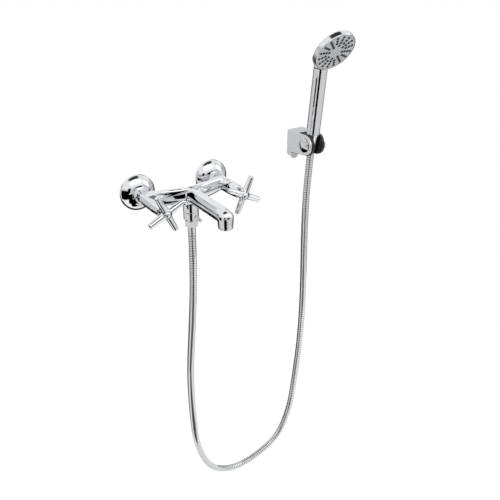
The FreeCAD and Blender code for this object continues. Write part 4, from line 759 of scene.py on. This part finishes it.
# Hose couplings
# A hexagon nut draws the hose's crimped ferrule up to the outlet on a rubber washer. At the hand
# shower's end a smooth cone nut does the same, and is shaped to drop into the holder.
HANDSET = (275, -54.5, 35)
LEAN_ANGLE = 5.38
LEAN = (math.radians(LEAN_ANGLE), 0, 0)
hose_nut = hexagon_nut("hose_hexagon", flats=22.4, low=-61.5, length=11.9, chamfer=1.6,
                       bore=[(7.35, -61.5), (7.35, -58.5), (10.6, -58.5), (10.6, -49.6)],
                       place=DIVERTER, tilt=(0, 0, 0))
ferrule = turn_on_lathe("hose_ferrule", [(4.5, -76), (6.7, -76), (7.15, -75.6), (7.15, -72.6),
                                         (6.75, -72.2), (6.75, -71.2), (7.15, -70.8),
                                         (7.15, -66.4), (6.85, -66), (6.85, -65.2),
                                         (7.15, -64.8), (7.15, -58.4), (9.8, -58.4),
                                         (9.8, -56.5), (4.5, -56.5), (4.5, -76)], DIVERTER)
cone = turn_on_lathe("hose_cone", [(7.3, -11), (7.6, -11), (8.0, -10.5), (9.86, 3.5),
                                   (11.9, 18.9), (11.75, 19.2), (11.8, 19.7), (12.05, 20),
                                   (12.2, 21.2), (11.9, 21.5), (10.45, 21.5), (10.45, 13.8),
                                   (9.9, 13.8), (9.9, 11.8), (7.3, 11.8), (7.3, -11)],
                     HANDSET, LEAN)
for piece, node, carrier in ((hose_nut, "hose_nut", "mixer"),
                             (ferrule, "hose_ferrule_mixer", "mixer"),
                             (cone, "hose_cone_nut", "handset")):
    coat(piece, chrome)
    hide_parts(node)
    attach(piece, carrier)

# Hand shower
# The grip and the head are chromed mouldings that plug together. A grey spray plate closes the
# head, and soft rubber pins come through it in sixteen short rows.
chromed_plastic = plated_metal("chromed_plastic", (0.81, 0.82, 0.84), 30, 0.02, 0.06)
grip = turn_on_lathe("grip", [(6.5, 15.5), (10.1, 15.5), (10.35, 15.8), (10.35, 21.8),
                              (12.4, 21.8), (12.85, 22.0), (13, 22.4), (13, 146.7), (12.7, 147),
                              (11.4, 147), (11.4, 26), (6.5, 26), (6.5, 15.5)], HANDSET, LEAN, 128)
coat(grip, chromed_plastic)
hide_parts("handset_grip")
FACE_ANGLE = 60
SHELL_RIM, SHELL_RISE, SHELL_RADIUS, SHELL_WALL = 10.5, 13.5, 40.2, 1.2
lean_turn = Matrix.Rotation(LEAN[0], 4, "X")
face_turn = Matrix.Rotation(math.radians(LEAN_ANGLE - FACE_ANGLE), 4, "X")


def on_handset(x, y, z):
    """Where a spot of the upright hand shower comes to lie, as it leans in the holder."""
    return Vector(HANDSET) + lean_turn @ Vector((x, y, z))


face_place = on_handset(0, -35, 182)
throat = [(on_handset(0, 0, 130), on_handset(0, 0, 149.5), 13.6),
          (on_handset(0, 0, 149), on_handset(0, -17, 182), 8)]


def inside_head(point):
    """Whether a spot lies in the head's hollow, in its throat or under the grip's end."""
    local = face_turn.inverted() @ (point / MM - face_place)
    reach = math.hypot(local.x, local.y)
    shell = SHELL_RIM + SHELL_RISE * (1 - (reach / SHELL_RADIUS) ** 2)
    return local.z < shell - SHELL_WALL or near_any(point, throat)


head = poured_casting("head_moulding", "handset_head", inside_head, near=2, far=6, passes=35)
coat(head, chromed_plastic)
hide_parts("handset_head")
grey_plastic = moulded("spray_grey", (0.54, 0.55, 0.56), 1400, 0.45, 0.58, 0.006)
pin_rubber = moulded("pin_rubber", (0.006, 0.006, 0.006), 1200, 0.7, 0.85, 0.006)
coat(nodes["spray_plate"], grey_plastic)
PIN_ROWS = 16
PIN_RINGS = (14.5, 20.7, 26.9, 33.1)
mat_piece = turn_on_lathe("pin_mat", [(0, 3.15), (38.3, 3.15), (38.3, 4.6), (0, 4.6)])
pin_template = [(0, 0.4), (0.5, 0.4), (0.6, 0.12), (1.9, 0.12), (2.45, 0.35), (2.55, 0.72),
                (1.45, 0.78), (1.45, 3.2), (0, 3.2)]
first_pin = turn_on_lathe("pin", pin_template, segments=16)
pins = [mat_piece]
for row in range(PIN_ROWS):
    turn = math.radians(360 / PIN_ROWS * row)
    for reach in PIN_RINGS if row % 2 == 0 else PIN_RINGS[1:]:
        pin = in_scene("pin", first_pin.data.copy())
        pin.location = (reach * MM * math.cos(turn), reach * MM * math.sin(turn), 0)
        pins.append(pin)
bpy.data.objects.remove(first_pin)
pin_mat = set_in_place(joined(pins), face_place, face_turn.to_euler())
coat(pin_mat, pin_rubber)
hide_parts("spray_nozzles")
for piece in (grip, head, pin_mat):
    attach(piece, "handset")

# Wall bracket
# A folded steel yoke, satin chromed, hooks over a moulded plate that is screwed to the wall. Two
# domed knobs clamp a black plastic drum between its cheeks, and the cone nut drops into it.
PIVOT = HANDSET
KNOB_OUT = 19
PRESSED_EDGE = 0.5


def softened_copy(name, node):
    """A CAD shape with its corners broken all round, as pressing or moulding leaves them."""
    piece = copied_mesh(node, name)
    bpy.ops.object.mode_set(mode="EDIT")
    bpy.ops.mesh.select_all(action="SELECT")
    bpy.ops.mesh.dissolve_limited(angle_limit=math.radians(1))
    bpy.ops.object.mode_set(mode="OBJECT")
    return set_in_place(piece, (0, 0, 0), (0, 0, 0), PRESSED_EDGE, 30)


satin_chrome = plated_metal("satin_chrome", (0.8, 0.81, 0.83), 70, 0.16, 0.26, 0.04)
pale_plastic = moulded("pale_plastic", (0.72, 0.73, 0.72), 700, 0.3, 0.45, 0.02)
black_plastic = moulded("black_plastic", (0.01, 0.01, 0.011), 1500, 0.3, 0.42, 0.03)
yoke = softened_copy("folded_yoke", "bracket_yoke")
coat(yoke, satin_chrome)
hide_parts("bracket_yoke")
wall_plate = softened_copy("moulded_plate", "bracket_wall_plate")
coat(wall_plate, pale_plastic)
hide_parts("bracket_wall_plate")
drum = softened_copy("holder_drum", "holder_fork")
coat(drum, black_plastic)
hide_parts("holder_fork")
knob_template = ([(0, -8.2), (3.7, -8.2), (4, -7.9), (4, 0.05), (11.6, 0.05), (11.6, 1.0),
                  (13.5, 1.0)] + crowned((13.8, 1.3), (0, 4.5), 31, 16))
knobs = joined([
    turn_on_lathe(side + "_knob", knob_template,
                  (PIVOT[0] + direction * KNOB_OUT, PIVOT[1], PIVOT[2]),
                  pointing((direction, 0, 0)), 96, 0.15)
    for side, direction in (("left", -1), ("right", 1))])
knobs.name = "clamp_knobs"
coat(knobs, chrome)
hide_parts("pivot_knobs")
for piece in (yoke, wall_plate, knobs):
    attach(piece, "mixer")
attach(drum, "holder")

# Pieces out of sight
# Brass, ceramic, rubber, steel and plastic parts inside the mixer, the hand shower and the
# couplings keep the shapes of the construction.
ceramic = moulded("ceramic", (0.86, 0.85, 0.82), 500, 0.12, 0.2, 0.002)
rubber = moulded("rubber", (0.02, 0.02, 0.022), 800, 0.55, 0.75, 0.04)
steel = plated_metal("steel", (0.56, 0.56, 0.55), 60, 0.24, 0.36, 0.03)
plain_white = moulded("inner_plastic", (0.7, 0.7, 0.68), 700, 0.4, 0.55, 0.02)
INNER_FINISHES = {
    "brass": brass, "ceramic": ceramic, "rubber": rubber, "steel": steel,
    "white_plastic": plain_white, "chrome": chrome, "chromed_plastic": chromed_plastic,
    "black_plastic": black_plastic, "pale_plastic": pale_plastic, "grey_plastic": grey_plastic,
    "hose_metal": hose_steel}
for part in frame["record"]["subparts"]:
    node = nodes[part["node"]]
    node.data.materials.clear()
    node.data.materials.append(INNER_FINISHES[part["material_slot"]])

# Floor, backdrop and light
# A white studio: a round white floor, pale paper all round, and black cards out of the camera's
# sight, which the chrome shows as its dark bands.
FLOOR_Z = -0.80
FLOOR_GLOW = 1.12
FLOOR_GLOW_SHARE = 0.8
bpy.ops.object.select_all(action="DESELECT")
bpy.ops.mesh.primitive_circle_add(vertices=96, radius=1.15, fill_type="NGON",
                                  location=(0.1, -0.1, FLOOR_Z))
floor = bpy.context.object
floor.name = "floor"


def seen_directly(tree, links):
    """1 for rays from the camera, and for those that metal and glass pass on; 0 for others."""
    rays = tree.new("ShaderNodeLightPath")
    total = rays.outputs["Is Camera Ray"]
    for label in ("Is Glossy Ray", "Is Transmission Ray"):
        largest = tree.new("ShaderNodeMath")
        largest.operation = "MAXIMUM"
        links.new(total, largest.inputs[0])
        links.new(rays.outputs[label], largest.inputs[1])
        total = largest.outputs["Value"]
    return total


pale = bpy.data.materials.new("pale_floor")
pale.use_nodes = True
pale_tree = pale.node_tree.nodes
pale_links = pale.node_tree.links
pale_shader = pale_tree["Principled BSDF"]
pale_shader.inputs["Base Color"].default_value = (0.92, 0.92, 0.92, 1)
pale_shader.inputs["Roughness"].default_value = 0.9
glow = pale_tree.new("ShaderNodeEmission")
glow.inputs["Color"].default_value = (FLOOR_GLOW, FLOOR_GLOW, FLOOR_GLOW, 1)
share = pale_tree.new("ShaderNodeMath")
share.operation = "MULTIPLY"
share.inputs[1].default_value = FLOOR_GLOW_SHARE
pale_links.new(seen_directly(pale_tree, pale_links), share.inputs[0])
mixed = pale_tree.new("ShaderNodeMixShader")
pale_links.new(share.outputs["Value"], mixed.inputs["Fac"])
pale_links.new(pale_shader.outputs["BSDF"], mixed.inputs[1])
pale_links.new(glow.outputs["Emission"], mixed.inputs[2])
pale_links.new(mixed.outputs["Shader"], pale_tree["Material Output"].inputs["Surface"])
floor.data.materials.append(pale)


def toward(azimuth, elevation=0):
    """A direction as a unit vector; azimuth 0 points straight out from the wall."""
    a, e = math.radians(azimuth), math.radians(elevation)
    return Vector((math.sin(a) * math.cos(e), -math.cos(a) * math.cos(e), math.sin(e)))


card_black = bpy.data.materials.new("card_black")
card_black.use_nodes = True
card_shader = card_black.node_tree.nodes["Principled BSDF"]
card_shader.inputs["Base Color"].default_value = (0, 0, 0, 1)
card_shader.inputs["Specular IOR Level"].default_value = 0


def set_card(name, spot, turn, size):
    """Sets up a black card that only reflections show."""
    bpy.ops.object.select_all(action="DESELECT")
    bpy.ops.mesh.primitive_plane_add(size=1, location=spot, rotation=turn)
    card = bpy.context.object
    card.name = name
    card.scale = size
    card.visible_camera = False
    card.visible_diffuse = False
    card.visible_shadow = False
    card.visible_transmission = False
    card.data.materials.append(card_black)


def standing_card(name, azimuth, distance, low, high, half_width, middle=(0, -0.08)):
    """A card on its edge that faces the object, at a distance from its middle."""
    spot = Vector((*middle, (low + high) / 2)) + toward(azimuth) * distance
    set_card(name, spot, (math.radians(90), 0, math.radians(azimuth)),
             (2 * half_width, high - low, 1))


def lying_card(name, x, y, azimuth, width, depth):
    """A card that lies just above the floor."""
    set_card(name, (x, y, FLOOR_Z + 0.01), (0, 0, math.radians(azimuth)), (width, depth, 1))


standing_card("card_low", -31, 1.2, -0.78, -0.22, 0.4)
standing_card("card_high", -40, 1.2, -0.1, 0.45, 0.2)
standing_card("card_left", -68, 0.2, -0.135, 0.03, 0.115, middle=(-0.075, -0.01))
standing_card("card_right", 8, 1.07, -0.16, 0.28, 0.3)
lying_card("card_near_floor", -0.145, -0.343, -31, 0.36, 0.36)
lying_card("card_far_floor", -0.33, -0.877, -31, 0.9, 0.75)
lying_card("card_back_floor", 0.35, 0.72, 0, 2.6, 1.2)

# The paper's shade from straight below (0) to straight above (1), and the dark part behind.
PAPER_STOPS = ((0.0, 0.6), (0.3, 0.74), (0.5, 0.68), (0.57, 0.56), (0.68, 0.98), (0.93, 0.92),
               (0.97, 0.04))
PAPER_TINT = (0.985, 0.992, 1)
DARK_SIDE = toward(146, -45)
DARK_FROM, DARK_FULL = 0.38, 0.85
DARK_SHADE = (0.04, 0.041, 0.043, 1)
SOFT_FILL = (0.8, 0.8, 0.8, 1)
WHITE = (1, 1, 1, 1)
world = bpy.data.worlds.new("studio")
world.use_nodes = True
bpy.context.scene.world = world
sky = world.node_tree.nodes
sky_links = world.node_tree.links
sky_shader = sky["Background"]
sky_place = sky.new("ShaderNodeTexCoord").outputs["Generated"]


def world_value(kind, operation, *inputs):
    """A maths node of the world, fed from sockets or plain values."""
    node = sky.new(kind)
    node.operation = operation
    for socket, value in zip(node.inputs, inputs):
        if hasattr(value, "default_value"):
            sky_links.new(value, socket)
        else:
            socket.default_value = value
    return node


def fading(value, low, high):
    """0 below low, 1 above high and a soft step between."""
    fade = sky.new("ShaderNodeMapRange")
    fade.interpolation_type = "SMOOTHSTEP"
    fade.inputs["From Min"].default_value = low
    fade.inputs["From Max"].default_value = high
    sky_links.new(value, fade.inputs["Value"])
    return fade.outputs["Result"]


def either(factor, low, high):
    """One colour of the world for a factor of 0 and another for 1, from sockets or plain values."""
    mix = sky.new("ShaderNodeMix")
    mix.data_type = "RGBA"
    sky_links.new(factor, mix.inputs["Factor"])
    for label, colour in (("A", low), ("B", high)):
        if isinstance(colour, tuple):
            mix.inputs[label].default_value = colour
        else:
            sky_links.new(colour, mix.inputs[label])
    return mix.outputs["Result"]


heights = sky.new("ShaderNodeSeparateXYZ")
sky_links.new(sky_place, heights.inputs["Vector"])
lifted = world_value("ShaderNodeMath", "MULTIPLY_ADD", heights.outputs["Z"], 0.5, 0.5)
paper = sky.new("ShaderNodeValToRGB")
paper.color_ramp.interpolation = "EASE"
while len(paper.color_ramp.elements) < len(PAPER_STOPS):
    paper.color_ramp.elements.new(0.5)
for element, (position, shade) in zip(paper.color_ramp.elements, PAPER_STOPS):
    element.position = position
    element.color = (*(shade * part for part in PAPER_TINT), 1)
sky_links.new(lifted.outputs["Value"], paper.inputs["Fac"])
beyond = world_value("ShaderNodeVectorMath", "DOT_PRODUCT", sky_place, DARK_SIDE)
behind = fading(beyond.outputs["Value"], DARK_FROM, DARK_FULL)
around = either(behind, paper.outputs["Color"], DARK_SHADE)
rays = sky.new("ShaderNodeLightPath")
lit = either(rays.outputs["Is Glossy Ray"], SOFT_FILL, around)
seen = either(rays.outputs["Is Camera Ray"], lit, WHITE)
sky_links.new(seen, sky_shader.inputs["Color"])
sky_shader.inputs["Strength"].default_value = 1


def soft_lamp(name, place, aim, width, depth, watts):
    """An oval soft box that points at a spot."""
    bpy.ops.object.light_add(type="AREA", location=place)
    lamp = bpy.context.object
    lamp.name = name
    lamp.data.shape = "ELLIPSE"
    lamp.data.size = width
    lamp.data.size_y = depth
    lamp.data.energy = watts
    lamp.rotation_euler = (Vector(aim) - Vector(place)).to_track_quat("-Z", "Y").to_euler()


soft_lamp("top_box", (0, -0.95, 1.25), (0.05, -0.05, -0.05), 1.9, 1.15, 4.6)
soft_lamp("side_box", (1.5, -1.0, 0.6), (0.1, -0.05, 0), 0.8, 1.2, 2.2)

bpy.context.scene.view_settings.view_transform = "Standard"
